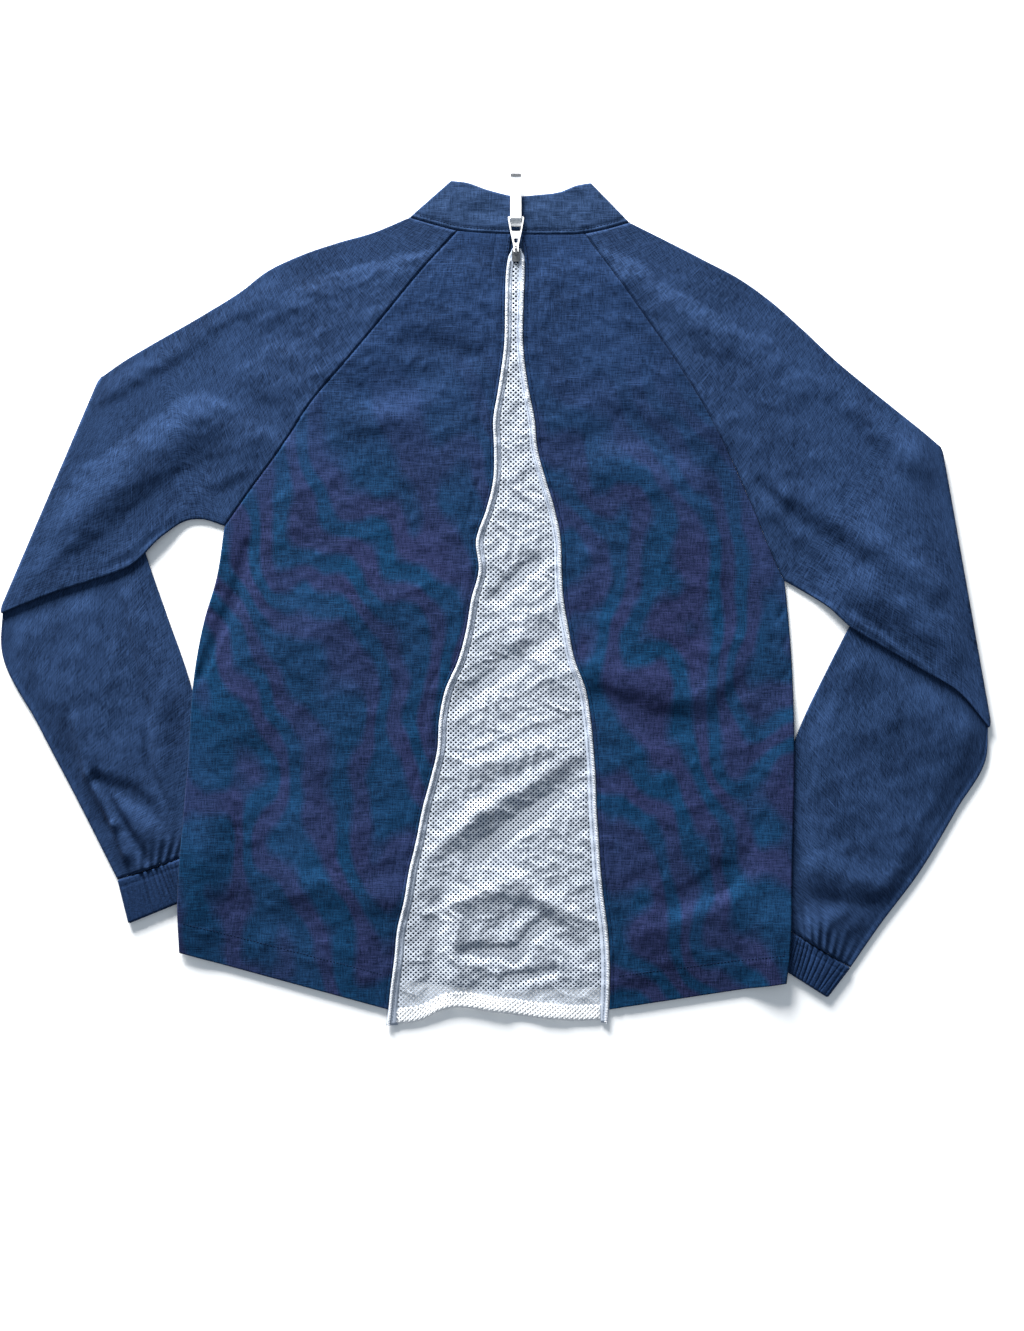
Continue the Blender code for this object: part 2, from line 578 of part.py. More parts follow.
def zip_tape(side):
    """Outer and inner faces of one zip tape, from the neck seam to its tip past the hem."""
    y = zip_rows()
    y[0] -= SEAM * 2
    outer_x, inner_x = tape_edges(side, y)
    rows = [((a, b), (c, b)) for a, b, c in zip(outer_x, y, inner_x)]
    tip = TAPE_END[side]
    rows.append(((tip[0], tip[1]), (tip[2], tip[3])))
    plan = np.array(rows)
    z = top_height(plan[..., 0], plan[..., 1], body_lift(plan[..., 0], plan[..., 1]))
    outer = np.concatenate([plan, z[..., None]], axis=-1)
    inner = np.concatenate([plan, z[..., None] - TAPE_WALL], axis=-1)
    return outer, inner


def mesh_godet():
    """Outer and inner faces of the mesh wedge between the tapes."""
    y = np.append(zip_rows()[MESH_TOP_ROW:], HEM_ZIP_Y - 8.0)
    share = np.linspace(0, 1, MESH_COLUMNS)
    left = tape_edges("left", y)[1] + SEAM
    right = tape_edges("right", y)[1] - SEAM
    x = left[:, None] * (1 - share) + right[:, None] * share
    plan_y = np.repeat(y[:, None], MESH_COLUMNS, axis=1)
    hem_x = np.linspace(TAPE_END["left"][2] + 2 * SEAM, TAPE_END["right"][2] - 3 * SEAM, MESH_COLUMNS)
    x[-1] = hem_x
    plan_y[-1] = hermite([p[0] for p in MESH_HEM], [p[1] for p in MESH_HEM], hem_x)[:, 0]
    depth = depth_inside(GARMENT, x, plan_y)
    z = top_height(x, plan_y, 0.0)
    z = z + relief(MESH_FOLDS, x, plan_y) * np.sin(math.pi * share)**0.5 * smooth((depth + 12) / FOLD_RAMP)
    z = np.maximum(z, 2 * EDGE_R - 0.2)
    outer = np.stack([x, plan_y, z], axis=-1)
    return outer, outer - np.array([0, 0, MESH_WALL])


def material(name):
    """A plain material in the piece's colour."""
    if name in bpy.data.materials:
        return bpy.data.materials[name]
    colour, roughness, metallic = FINISHES[name]
    new = bpy.data.materials.new(name)
    new.use_nodes = True
    shader = new.node_tree.nodes["Principled BSDF"]
    shader.inputs["Base Color"].default_value = (*colour, 1)
    shader.inputs["Roughness"].default_value = roughness
    shader.inputs["Metallic"].default_value = metallic
    new.diffuse_color = (*colour, 1)
    return new


def add_object(name, mesh_data, finish):
    mesh_data.materials.append(material(finish))
    obj = bpy.data.objects.new(name, mesh_data)
    bpy.context.scene.collection.objects.link(obj)
    return obj


def cloth_object(name, faces, finish, closed=False, flip_from=None):
    """A closed wall from its outer and inner faces; closed joins the last column to the first."""
    outer, inner = faces
    rows, columns = outer.shape[:2]
    bm = bmesh.new()
    grid = [[[bm.verts.new(p * MM) for p in row] for row in face] for face in (outer, inner)]
    flip_from = columns if flip_from is None else flip_from
    steps = columns if closed else columns - 1
    for i in range(rows - 1):
        for j in range(steps):
            n = (j + 1) % columns
            for side_index, face in enumerate(grid):
                a, b, c, d = face[i][j], face[i][n], face[i + 1][n], face[i + 1][j]
                halves = ((a, b, c), (a, c, d)) if j < flip_from else ((a, b, d), (b, c, d))
                for half in halves:
                    bm.faces.new(half if side_index == 0 else half[::-1])
    for i in (0, rows - 1):
        for j in range(steps):
            n = (j + 1) % columns
            rim = (grid[0][i][j], grid[1][i][j], grid[1][i][n], grid[0][i][n])
            bm.faces.new(rim if i == 0 else rim[::-1])
    if not closed:
        for j in (0, columns - 1):
            for i in range(rows - 1):
                rim = (grid[0][i][j], grid[0][i + 1][j], grid[1][i + 1][j], grid[1][i][j])
                bm.faces.new(rim if j == 0 else rim[::-1])
    bmesh.ops.recalc_face_normals(bm, faces=bm.faces)
    mesh_data = bpy.data.meshes.new(name)
    bm.to_mesh(mesh_data)
    bm.free()
    mesh_data.shade_smooth()
    return add_object(name, mesh_data, finish)


def prism(name, outline, low, high, axis="Z"):
    """An outline in its plane, extruded from low to high along an axis."""
    bm = bmesh.new()
    verts = [bm.verts.new((a * MM, b * MM, low * MM)) for a, b in outline]
    face = bm.faces.new(verts)
    top = bmesh.ops.extrude_face_region(bm, geom=[face])["geom"]
    moved = [item for item in top if isinstance(item, bmesh.types.BMVert)]
    bmesh.ops.translate(bm, verts=moved, vec=(0, 0, (high - low) * MM))
    if axis == "X":
        turn = Matrix(((0, 0, 1, 0), (1, 0, 0, 0), (0, 1, 0, 0), (0, 0, 0, 1)))
        bmesh.ops.transform(bm, matrix=turn, verts=bm.verts)
    bmesh.ops.recalc_face_normals(bm, faces=bm.faces)
    mesh_data = bpy.data.meshes.new(name)
    bm.to_mesh(mesh_data)
    bm.free()
    return mesh_data


def rounded(points, radius, steps=3):
    """An outline with each corner rounded."""
    points = [np.array(p, float) for p in points]
    result = []
    for before, here, after in zip(points[-1:] + points[:-1], points, points[1:] + points[:1]):
        reach = min(radius, 0.45 * np.hypot(*(before - here)), 0.45 * np.hypot(*(after - here)))
        start = here + (before - here) / np.hypot(*(before - here)) * reach
        end = here + (after - here) / np.hypot(*(after - here)) * reach
        for i in range(steps + 1):
            t = i / steps
            result.append(tuple((1 - t)**2 * start + 2 * t * (1 - t) * here + t**2 * end))
    return result


def boolean(obj, mesh_data, operation):
    """Join or cut an object with a tool mesh, through a Boolean modifier on a hidden guide."""
    guide = bpy.data.objects.new(obj.name + "_" + mesh_data.name, mesh_data)
    bpy.context.scene.collection.objects.link(guide)
    guide.hide_render = True
    guide.display_type = "WIRE"
    modifier = obj.modifiers.new(mesh_data.name, "BOOLEAN")
    modifier.operation = operation
    modifier.object = guide


def zip_slider():
    """Slider: a shield-shaped plate, the post between the tapes, and the bridge over the hinge."""
    top, low = SLIDER_TOP_Y, SLIDER_TOP_Y - SLIDER_LENGTH
    half = SLIDER_WIDTH / 2
    shield = rounded([(-half, top - 0.5), (-half * 0.9, low), (half * 0.9, low), (half, top - 0.5)], 1.6)
    shield = [(CENTRE_X + x, y) for x, y in shield]
    plate = prism("slider_plate", shield, SLIDER_Z, SLIDER_Z + SLIDER_PLATE)
    obj = add_object("zip_slider", plate, "slider_metal")
    base = SLIDER_Z + SLIDER_PLATE - 0.2
    crown = SLIDER_Z + SLIDER_PLATE + 2 * HINGE_RISE + BRIDGE_WALL
    front, back = HINGE_Y + BRIDGE_LENGTH / 2, HINGE_Y - BRIDGE_LENGTH / 2
    arch = [(back, base), (back, crown - 0.9), (back + 0.9, crown), (front - 0.9, crown),
            (front, crown - 0.9), (front, base), (front - BRIDGE_WALL, base),
            (front - BRIDGE_WALL, crown - BRIDGE_WALL - 0.4),
            (front - BRIDGE_WALL - 0.4, crown - BRIDGE_WALL),
            (back + BRIDGE_WALL + 0.4, crown - BRIDGE_WALL),
            (back + BRIDGE_WALL, crown - BRIDGE_WALL - 0.4), (back + BRIDGE_WALL, base)]
    low_x, high_x = CENTRE_X - BRIDGE_WIDTH / 2, CENTRE_X + BRIDGE_WIDTH / 2
    boolean(obj, prism("bridge", arch, low_x, high_x, "X"), "UNION")
    return obj


def pull_tab():
    """Pull: a flat tapered plate with an eye at the hinge, a slot, and a window for the ribbon."""
    eye_end = HINGE_Y - PULL_THICKNESS / 2
    outline = [(-2.35, eye_end), (2.35, eye_end), (2.4, HINGE_Y + 5.0), (4.3, HINGE_Y + 14.0),
               (5.0, HINGE_Y + 17.0), (7.2, HINGE_Y + 29.0), (7.2, HINGE_Y + 31.2), (-7.2, HINGE_Y + 31.2),
               (-7.2, HINGE_Y + 29.0), (-5.0, HINGE_Y + 17.0), (-4.3, HINGE_Y + 14.0), (-2.4, HINGE_Y + 5.0)]
    outline = [(CENTRE_X + x, y) for x, y in rounded(outline, 0.9, 2)]
    middle = SLIDER_Z + SLIDER_PLATE + HINGE_RISE
    low, high = middle - PULL_THICKNESS / 2, middle + PULL_THICKNESS / 2
    obj = add_object("pull_tab", prism("pull_plate", outline, low, high), "pull_metal")
    eye = rounded([(-1.15, HINGE_Y + 0.6), (1.15, HINGE_Y + 0.6), (1.15, HINGE_Y + 4.4),
                   (-1.15, HINGE_Y + 4.4)], 0.3)
    slot = rounded([(-1.4, HINGE_Y + 7.4), (1.4, HINGE_Y + 7.4), (1.9, HINGE_Y + 11.6),
                    (-1.9, HINGE_Y + 11.6)], 1.0)
    window = rounded([(-4.0, HINGE_Y + 18.0), (4.0, HINGE_Y + 18.0), (5.8, HINGE_Y + 29.2),
                      (-5.8, HINGE_Y + 29.2)], 1.2)
    for name, hole in (("eye", eye), ("slot", slot), ("window", window)):
        placed = [(CENTRE_X + x, y) for x, y in hole]
        boolean(obj, prism(name, placed, low - 1, high + 1), "DIFFERENCE")
    return obj


def pull_ribbon():
    """Ribbon: a loop of two layers round the pull's bar, sewn together at its end."""
    middle = SLIDER_Z + SLIDER_PLATE + HINGE_RISE
    bar_low, bar_high = HINGE_Y + 29.2, HINGE_Y + 31.2
    gap = PULL_THICKNESS / 2 + SEAM
    outer_r = gap + RIBBON_WALL
    turn_y = bar_low - SEAM - RIBBON_WALL
    join_y = RIBBON_TOP_Y - 5.0
    settle_y = bar_high + 12.0
    layer = 0.2
    outer = [(turn_y + 0.5, middle + outer_r - 0.4), (turn_y, middle), (turn_y + 0.5, middle - outer_r + 0.4),
             (turn_y + 1.2, middle - outer_r), (bar_high + 1.0, middle - outer_r),
             (settle_y, middle - layer - RIBBON_WALL), (RIBBON_TOP_Y, middle - layer - RIBBON_WALL),
             (RIBBON_TOP_Y, middle + layer + RIBBON_WALL), (settle_y, middle + layer + RIBBON_WALL),
             (bar_high + 1.0, middle + outer_r), (turn_y + 1.2, middle + outer_r)]
    inner_y = turn_y + RIBBON_WALL
    inner = [(inner_y, middle + gap - 0.2), (inner_y, middle - gap + 0.2), (inner_y + 0.3, middle - gap),
             (bar_high + 0.8, middle - gap), (settle_y - 1.0, middle - layer), (join_y, middle - layer),
             (join_y, middle + layer), (settle_y - 1.0, middle + layer), (bar_high + 0.8, middle + gap),
             (inner_y + 0.3, middle + gap)]
    low_x, high_x = CENTRE_X - RIBBON_WIDTH / 2, CENTRE_X + RIBBON_WIDTH / 2
    obj = add_object("pull_ribbon", prism("ribbon_loop", outer, low_x, high_x, "X"), "ribbon")
    boolean(obj, prism("ribbon_inside", inner, low_x - 1, high_x + 1, "X"), "DIFFERENCE")
    return obj


def build():
    for obj in list(bpy.data.objects):
        bpy.data.objects.remove(obj)
    for side in SIDES:
        cloth_object("back_" + side, body_panel(side, True), "chambray")
        cloth_object("front_" + side, body_panel(side, False), "chambray")
        half = (2 * (SLEEVE_COLUMNS + 3) + 1) // 2
        cloth_object("sleeve_" + side, sleeve(side), "chambray", flip_from=half)
        cloth_object("cuff_" + side, cuff(side), "chambray_cuff", closed=True)
        cloth_object("zip_tape_" + side, zip_tape(side), "zip_tape")
    cloth_object("collar", collar(), "chambray_collar")
    cloth_object("mesh_godet", mesh_godet(), "mesh")
    zip_slider()
    pull_tab()
    pull_ribbon()


build()
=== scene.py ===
# The looks of a blue chambray raglan fencing jacket, laid flat with its back up.
# Sizes are in millimetres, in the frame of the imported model: X to the right, Y to
# the collar, Z up from the table. Meshes are written in metres.
import math
from collections import namedtuple

import bmesh
import bpy
import numpy as np
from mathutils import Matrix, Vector


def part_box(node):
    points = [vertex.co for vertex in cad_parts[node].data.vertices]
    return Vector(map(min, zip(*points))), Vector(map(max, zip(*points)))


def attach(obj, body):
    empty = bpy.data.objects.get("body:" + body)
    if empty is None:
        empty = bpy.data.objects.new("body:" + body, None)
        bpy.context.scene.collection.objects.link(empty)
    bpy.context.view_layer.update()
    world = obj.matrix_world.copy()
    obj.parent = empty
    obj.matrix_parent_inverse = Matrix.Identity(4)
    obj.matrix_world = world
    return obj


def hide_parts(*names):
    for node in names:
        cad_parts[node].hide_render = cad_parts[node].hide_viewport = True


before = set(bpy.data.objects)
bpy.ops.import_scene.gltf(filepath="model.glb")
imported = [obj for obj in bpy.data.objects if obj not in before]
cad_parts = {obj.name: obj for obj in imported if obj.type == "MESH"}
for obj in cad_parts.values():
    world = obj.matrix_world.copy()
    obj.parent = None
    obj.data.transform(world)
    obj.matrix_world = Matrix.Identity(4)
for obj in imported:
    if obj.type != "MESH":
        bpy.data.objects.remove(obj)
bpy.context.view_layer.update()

MM = 0.001

# Table: a plain white table top, lit by one wide soft window beyond the collar
# and by white walls all round, with the camera looking straight down at it.
VIEW_CENTRE = (14.85, -58.95)
VIEW_HEIGHT = 1197.9
CLOTH_PLANE = 4.0
LENS = 45.0
SENSOR = 36.0
TABLE_SIZE = 6.0
TABLE_DROP = 0.0004
WINDOW_PLACE = (-1.10, 3.26, 0.82)
WINDOW_SIZE = 1.7
WINDOW_WATTS = 870.0
WALLS_STRENGTH = 0.46

camera_data = bpy.data.cameras.new("camera")
camera_data.lens = LENS
camera_data.sensor_width = SENSOR
camera_data.clip_end = 50.0
camera = bpy.data.objects.new("camera", camera_data)
camera_distance = VIEW_HEIGHT * LENS / SENSOR
camera.location = (VIEW_CENTRE[0] * MM, VIEW_CENTRE[1] * MM, (camera_distance + CLOTH_PLANE) * MM)
bpy.context.scene.collection.objects.link(camera)
bpy.context.scene.camera = camera
bpy.context.scene.view_settings.view_transform = "Standard"

window_data = bpy.data.lights.new("window", "AREA")
window_data.energy = WINDOW_WATTS
window_data.size = WINDOW_SIZE
window_data.color = (1.0, 0.985, 0.96)
window = bpy.data.objects.new("window", window_data)
window.location = WINDOW_PLACE
window.rotation_mode = "QUATERNION"
window.rotation_quaternion = (-Vector(WINDOW_PLACE)).to_track_quat("-Z", "Y")
bpy.context.scene.collection.objects.link(window)

world = bpy.data.worlds.new("white_walls")
world.use_nodes = True
world.node_tree.nodes["Background"].inputs["Color"].default_value = (0.80, 0.90, 1.0, 1.0)
world.node_tree.nodes["Background"].inputs["Strength"].default_value = WALLS_STRENGTH
bpy.context.scene.world = world


class Thread:
    """One socket of a finish. Arithmetic on it adds Math nodes, and node() adds any other node."""

    def __init__(self, tree, socket=None):
        self.tree = tree
        self.socket = socket

    def node(self, kind, settings, values, output=0):
        made = self.tree.nodes.new(kind)
        for name, value in settings.items():
            if name == "stops":
                ramp = made.color_ramp
                for place, colour in value[len(ramp.elements):]:
                    ramp.elements.new(place)
                for element, (place, colour) in zip(ramp.elements, value):
                    element.position = place
                    element.color = (*colour, 1.0)
            else:
                setattr(made, name, value)
        for key, value in values.items():
            if isinstance(value, Thread):
                self.tree.links.new(value.socket, made.inputs[key])
            else:
                made.inputs[key].default_value = value
        return Thread(self.tree, made.outputs[output])

    def maths(self, operation, *values):
        return self.node("ShaderNodeMath", {"operation": operation}, dict(enumerate(values)))

    def __add__(self, other):
        return self.maths("ADD", self, other)

    def __sub__(self, other):
        return self.maths("SUBTRACT", self, other)

    def __rsub__(self, other):
        return self.maths("SUBTRACT", other, self)

    def __mul__(self, other):
        return self.maths("MULTIPLY", self, other)

    __radd__ = __add__
    __rmul__ = __mul__

    def between(self, low, high):
        """0 at low, 1 at high, eased."""
        return self.node("ShaderNodeMapRange", {"interpolation_type": "SMOOTHSTEP"},
                         {"Value": self, "From Min": low, "From Max": high})

    def noise(self, place, stretch, detail=2.0, roughness=0.5):
        """Cloudy noise, with its cells per metre along each way of the cloth."""
        spread = self.node("ShaderNodeVectorMath", {"operation": "MULTIPLY"}, {0: place, 1: stretch})
        return self.node("ShaderNodeTexNoise", {},
                         {"Vector": spread, "Scale": 1.0, "Detail": detail, "Roughness": roughness})

    def mix(self, share, first, second, blend="MIX"):
        """A mix of two colours."""
        made = self.tree.nodes.new("ShaderNodeMix")
        made.data_type = "RGBA"
        made.blend_type = blend
        for socket, value in ((made.inputs[0], share), (made.inputs[6], first), (made.inputs[7], second)):
            if isinstance(value, Thread):
                self.tree.links.new(value.socket, socket)
            else:
                socket.default_value = value if isinstance(value, float) else (*value, 1.0)
        return Thread(self.tree, made.outputs[2])


def new_finish(name):
    """An empty finish: (material, a thread to start from, its shader node)."""
    material = bpy.data.materials.new(name)
    material.use_nodes = True
    tree = material.node_tree
    return material, Thread(tree), tree.nodes["Principled BSDF"]


def wire(shader, values):
    """Sets the shader's sockets to values or threads."""
    for name, value in values.items():
        if isinstance(value, Thread):
            value.tree.links.new(value.socket, shader.inputs[name])
        else:
            shader.inputs[name].default_value = value


def raised(start, height, distance):
    """A bump from a height between 0 and 1, in metres of distance."""
    return start.node("ShaderNodeBump", {}, {"Strength": 1.0, "Distance": distance, "Height": height})


table_white, start, shader = new_finish("table_white")
table_place = start.node("ShaderNodeTexCoord", {}, {}, output="Object")
table_grain = start.noise(table_place, (9.0, 9.0, 9.0), 4.0)
wire(shader, {"Base Color": start.mix(table_grain, (0.90, 0.91, 0.925), (0.94, 0.945, 0.95)),
              "Roughness": 0.55})
bm = bmesh.new()
bmesh.ops.create_grid(bm, x_segments=1, y_segments=1, size=TABLE_SIZE / 2)
table_mesh = bpy.data.meshes.new("table")
bm.to_mesh(table_mesh)
bm.free()
table_mesh.materials.append(table_white)
table = bpy.data.objects.new("table", table_mesh)
table.location = (0, 0, -TABLE_DROP)
bpy.context.scene.collection.objects.link(table)

# Front panels: two halves of blue chambray under everything else, from the
# dropped front neck to the hem, meeting edge to edge at the centre front. Their
# side seams roll up to the back's, and the forearms lift them at their sides.
CLOTH_WALL = 0.55
LAYER_GAP = 0.5
EDGE_R = 1.45
SEAM = 0.3
CENTRE_X = 18.4
NECK_ZIP_Y = 330.0
ARMPIT_ZIP_Y = 42.0
HEM_ZIP_Y = -369.0
FRONT_NECK_DROP = 26.0
FRONT_NECK_X = 23.0
FRONT_NECK_HALF = 57.5
FRONT_HEM = (-8.0, -352.0)
FRONT_ROW = 9.0
CURL_ROWS = 0.012

NECK = ((-77.9, 344.7), (-56.2, 338.4), (-34.6, 333.0), (-13.1, 330.9), (18.4, 329.8),
        (49.1, 329.3), (80.5, 330.3), (102.2, 334.8), (121.0, 340.2))
MESH_HEM = ((-90.0, -381.8), (-65.2, -378.0), (-50.0, -369.9), (4.0, -371.7), (44.6, -377.1),
            (74.2, -378.9), (98.0, -378.0))
Side = namedtuple("Side", "raglan side over armpit_share fold under fore_inner fore_outer cuff_end")
LEFT = Side(
    raglan=((-34.6, 333.0), (-67.0, 297.0), (-99.5, 257.4), (-131.8, 218.7), (-164.2, 180.9),
            (-195.8, 134.1), (-222.8, 97.2), (-244.3, 66.6)),
    side=((-244.3, 66.6), (-251.6, 18.9), (-262.4, -18.0), (-271.4, -71.1), (-276.8, -147.6),
          (-281.2, -200.7), (-285.8, -279.9), (-284.9, -317.7)),
    over=((-77.9, 344.7), (-110.2, 331.2), (-141.8, 322.2), (-176.0, 310.5), (-207.5, 295.2),
          (-228.2, 279.0), (-264.2, 256.5), (-332.6, 216.0), (-355.9, 202.5)),
    armpit_share=0.78,
    fold=((-355.9, 202.5), (-447.2, -10.8)),
    under=((-244.3, 66.6), (-265.9, 72.9), (-276.8, 72.0), (-298.4, 58.5), (-329.9, 29.7),
           (-355.9, 19.8), (-392.9, 8.1), (-443.2, -14.4)),
    fore_inner=((-355.9, 202.5), (-313.7, 36.9), (-298.4, -7.2), (-273.2, -81.9), (-261.4, -144.0),
                (-263.2, -198.0), (-276.8, -230.4)),
    fore_outer=((-447.2, -10.8), (-445.6, -42.3), (-411.8, -113.4), (-378.4, -177.3), (-340.7, -252.0)),
    cuff_end=((-330.8, -291.6), (-273.2, -268.2)))
RIGHT = Side(
    raglan=((80.5, 330.3), (112.0, 287.1), (134.6, 255.6), (156.2, 225.0), (191.2, 169.2),
            (214.7, 122.4), (236.2, 72.9), (253.3, 31.5), (260.6, 17.1)),
    side=((260.6, 17.1), (263.2, -9.0), (266.9, -56.7), (268.7, -144.0), (266.9, -232.2),
          (264.2, -319.5), (261.4, -344.7)),
    over=((121.0, 340.2), (157.1, 322.2), (188.6, 306.0), (219.2, 289.8), (247.1, 270.0),
          (277.7, 243.0), (306.4, 216.0), (338.9, 189.0), (372.2, 162.0), (401.9, 139.5)),
    armpit_share=0.86,
    fold=((401.9, 139.5), (446.9, -114.3)),
    under=((260.6, 17.1), (281.2, 5.4), (299.2, -6.3), (319.1, -24.3), (342.4, -38.7),
           (386.6, -64.8), (416.2, -82.8), (445.1, -111.6)),
    fore_inner=((401.9, 139.5), (318.2, -25.2), (299.2, -62.1), (269.6, -126.9), (255.2, -180.0),
                (251.6, -234.0), (260.6, -279.0), (265.1, -297.9)),
    fore_outer=((446.9, -120.6), (442.4, -141.3), (416.2, -188.1), (381.2, -246.6), (346.1, -293.4),
                (319.9, -331.2)),
    cuff_end=((299.2, -358.2), (255.2, -330.3)))
SIDES = {"left": LEFT, "right": RIGHT}

ZipRow = namedtuple("ZipRow", "y left right")
ZIP = [ZipRow(*row) for row in (
    (330, 14.2, 22.6), (315, 12.2, 25.7), (297, 9.5, 26.6), (270, 8.6, 25.7), (230, 7.7, 25.2),
    (189, 2.2, 30.2), (162, -2.2, 35.6), (135, -1.4, 38.2), (108, -2.2, 45.5), (81, -8.6, 53.6),
    (54, -17.6, 59.0), (27, -15.3, 59.9), (0, -22.1, 61.6), (-27, -26.6, 66.2), (-54, -33.8, 71.5),
    (-81, -45.5, 81.5), (-108, -50.9, 86.0), (-135, -52.6, 88.7), (-162, -59.0, 90.5),
    (-189, -66.2, 91.4), (-216, -71.5, 93.2), (-243, -77.9, 95.0), (-270, -82.4, 97.7),
    (-297, -88.7, 101.2), (-324, -91.4, 103.0), (-351, -95.0, 103.0), (-383, -98.0, 101.5))]

# How far the forearm and cuff under each side of the body lift it off the table
Rest = namedtuple("Rest", "y inner_x lift")
RESTS = {
    "left": [Rest(*row) for row in (
        (-20, -276, 0.0), (-60, -273, 3.4), (-144, -261, 3.4), (-198, -263, 3.8),
        (-226, -270, 6.3), (-278, -273, 6.3), (-318, -276, 1.6))],
    "right": [Rest(*row) for row in (
        (-75, 270, 0.0), (-116, 269, 3.4), (-180, 255, 3.4), (-234, 251, 3.4), (-268, 256, 3.8),
        (-292, 254, 6.3), (-345, 254, 6.3))]}
REST_MARGIN = 2.0
REST_RAMP = 32.0


def smooth(t):
    """Rises from 0 to 1 with level ends."""
    t = np.clip(t, 0.0, 1.0)
    return t * t * (3 - 2 * t)


def hermite(key, rows, at):
    """Rows of values at rising keys, read at any place on the smooth curve through them."""
    key = np.asarray(key, float)
    rows = np.asarray(rows, float).reshape(len(key), -1)
    slope = np.gradient(rows, key, axis=0)
    at = np.clip(np.asarray(at, float), key[0], key[-1])
    i = np.clip(np.searchsorted(key, at, side="right") - 1, 0, len(key) - 2)
    span = (key[i + 1] - key[i])[:, None]
    u = (at - key[i])[:, None] / span
    first = (2 * u**3 - 3 * u**2 + 1) * rows[i] + (u**3 - 2 * u**2 + u) * span * slope[i]
    last = (3 * u**2 - 2 * u**3) * rows[i + 1] + (u**3 - u**2) * span * slope[i + 1]
    return first + last


def curve(points, shares):
    """Points on a smooth curve, at shares of its length."""
    points = np.asarray(points, float)
    length = np.concatenate([[0], np.cumsum(np.hypot(*np.diff(points, axis=0).T))])
    return hermite(length / length[-1], points, np.asarray(shares, float))


def neck_y(x):
    """Where the neck seam lies, across the garment."""
    return hermite([p[0] for p in NECK], [p[1] for p in NECK], np.ravel(x))[:, 0].reshape(np.shape(x))


def front_drop(x):
    """How far the front neck is cut below the back neck."""
    return FRONT_NECK_DROP * np.clip(1 - ((x - FRONT_NECK_X) / FRONT_NECK_HALF)**2, 0, 1)


def zip_x(side, y):
    """The cloth's edge beside the zip."""
    edge = hermite([-row.y for row in ZIP], [getattr(row, side) for row in ZIP], -np.ravel(y))[:, 0]
    return edge.reshape(np.shape(y))


def distance_to(x0, y0, x1, y1, x, y):
    """Distance from places to a straight stretch."""
    dx, dy = x1 - x0, y1 - y0
    t = np.clip(((x - x0) * dx + (y - y0) * dy) / (dx * dx + dy * dy), 0, 1)
    return np.hypot(x - x0 - t * dx, y - y0 - t * dy)


def depth_inside(outline, x, y):
    """How far places lie inside a closed outline; 0 outside it."""
    depth = np.full(np.shape(x), 1e9)
    inside = np.zeros(np.shape(x), bool)
    for (x0, y0), (x1, y1) in zip(outline, np.roll(outline, -1, axis=0)):
        depth = np.minimum(depth, distance_to(x0, y0, x1, y1, x, y))
        if y0 != y1:
            inside ^= ((y0 > y) != (y1 > y)) & (x < (x1 - x0) * (y - y0) / (y1 - y0) + x0)
    return np.where(inside, depth, 0.0)


def body_lift(x, y):
    """How far the forearms and cuffs under its sides lift the body."""
    total = np.zeros(np.shape(x))
    for side, rows in RESTS.items():
        key = [-row.y for row in rows]
        inner_x = np.interp(-np.ravel(y), key, [row.inner_x for row in rows]).reshape(np.shape(x))
        lift = np.interp(-np.ravel(y), key, [row.lift for row in rows], left=0.0).reshape(np.shape(x))
        inwards = (x - inner_x) if side == "left" else (inner_x - x)
        total += lift * (1 - smooth((inwards - REST_MARGIN) / REST_RAMP))
    return total


def body_plan(side, is_back, row_step, stations_of):
    """A body panel seen from above, row by row from the neck: places, distances along each row
    from its side seam, share of the way down each part, and how far its side edge curls."""
    s = SIDES[side]
    upper = np.linspace(0, 1, round((NECK_ZIP_Y - ARMPIT_ZIP_Y) / row_step) + 1)
    near_neck = np.array([0.2, 0.7]) / (NECK_ZIP_Y - ARMPIT_ZIP_Y)
    upper = np.sort(np.concatenate([upper, near_neck]))
    lower = np.linspace(0, 1, round((ARMPIT_ZIP_Y - HEM_ZIP_Y) / row_step) + 1)[1:]
    near_hem = 1 - np.array([2.0, 1.0, 0.4]) / (ARMPIT_ZIP_Y - HEM_ZIP_Y)
    lower = np.sort(np.concatenate([lower, near_hem]))
    starts = np.concatenate([curve(s.raglan, upper), curve(s.side, lower)])
    y = np.concatenate([NECK_ZIP_Y + (ARMPIT_ZIP_Y - NECK_ZIP_Y) * upper,
                        ARMPIT_ZIP_Y + (HEM_ZIP_Y - ARMPIT_ZIP_Y) * lower])
    if is_back:
        ends = np.stack([zip_x(side, y), y], axis=-1)
    else:
        whole = ((NECK_ZIP_Y - y) / (NECK_ZIP_Y - HEM_ZIP_Y))[:, None]
        front_neck = np.array([CENTRE_X, NECK_ZIP_Y - FRONT_NECK_DROP - SEAM])
        ends = front_neck * (1 - whole) + np.array(FRONT_HEM) * whole
    along = ends - starts
    length = np.hypot(*along.T)[:, None]
    t = np.array([stations_of(value) for value in length[:, 0]])
    x = starts[:, :1] + along[:, :1] / length * t
    y_place = starts[:, 1:] + along[:, 1:] / length * t
    neck_line = neck_y(x[0]) - SEAM
    if not is_back:
        neck_line = neck_line - front_drop(x[0]) - 2 * SEAM
    fade = np.clip(1 - (NECK_ZIP_Y - y) / 24.0, 0, 1)[:, None]
    y_place = y_place + (neck_line - y_place[0]) * fade
    curl = np.concatenate([np.zeros(len(upper)), np.clip(lower / CURL_ROWS, 0, 1)])[:, None]
    from_hem = np.concatenate([np.full(len(upper), 1e3), (1 - lower) * (ARMPIT_ZIP_Y - HEM_ZIP_Y)])[:, None]
    return x, y_place, t, length, curl, from_hem


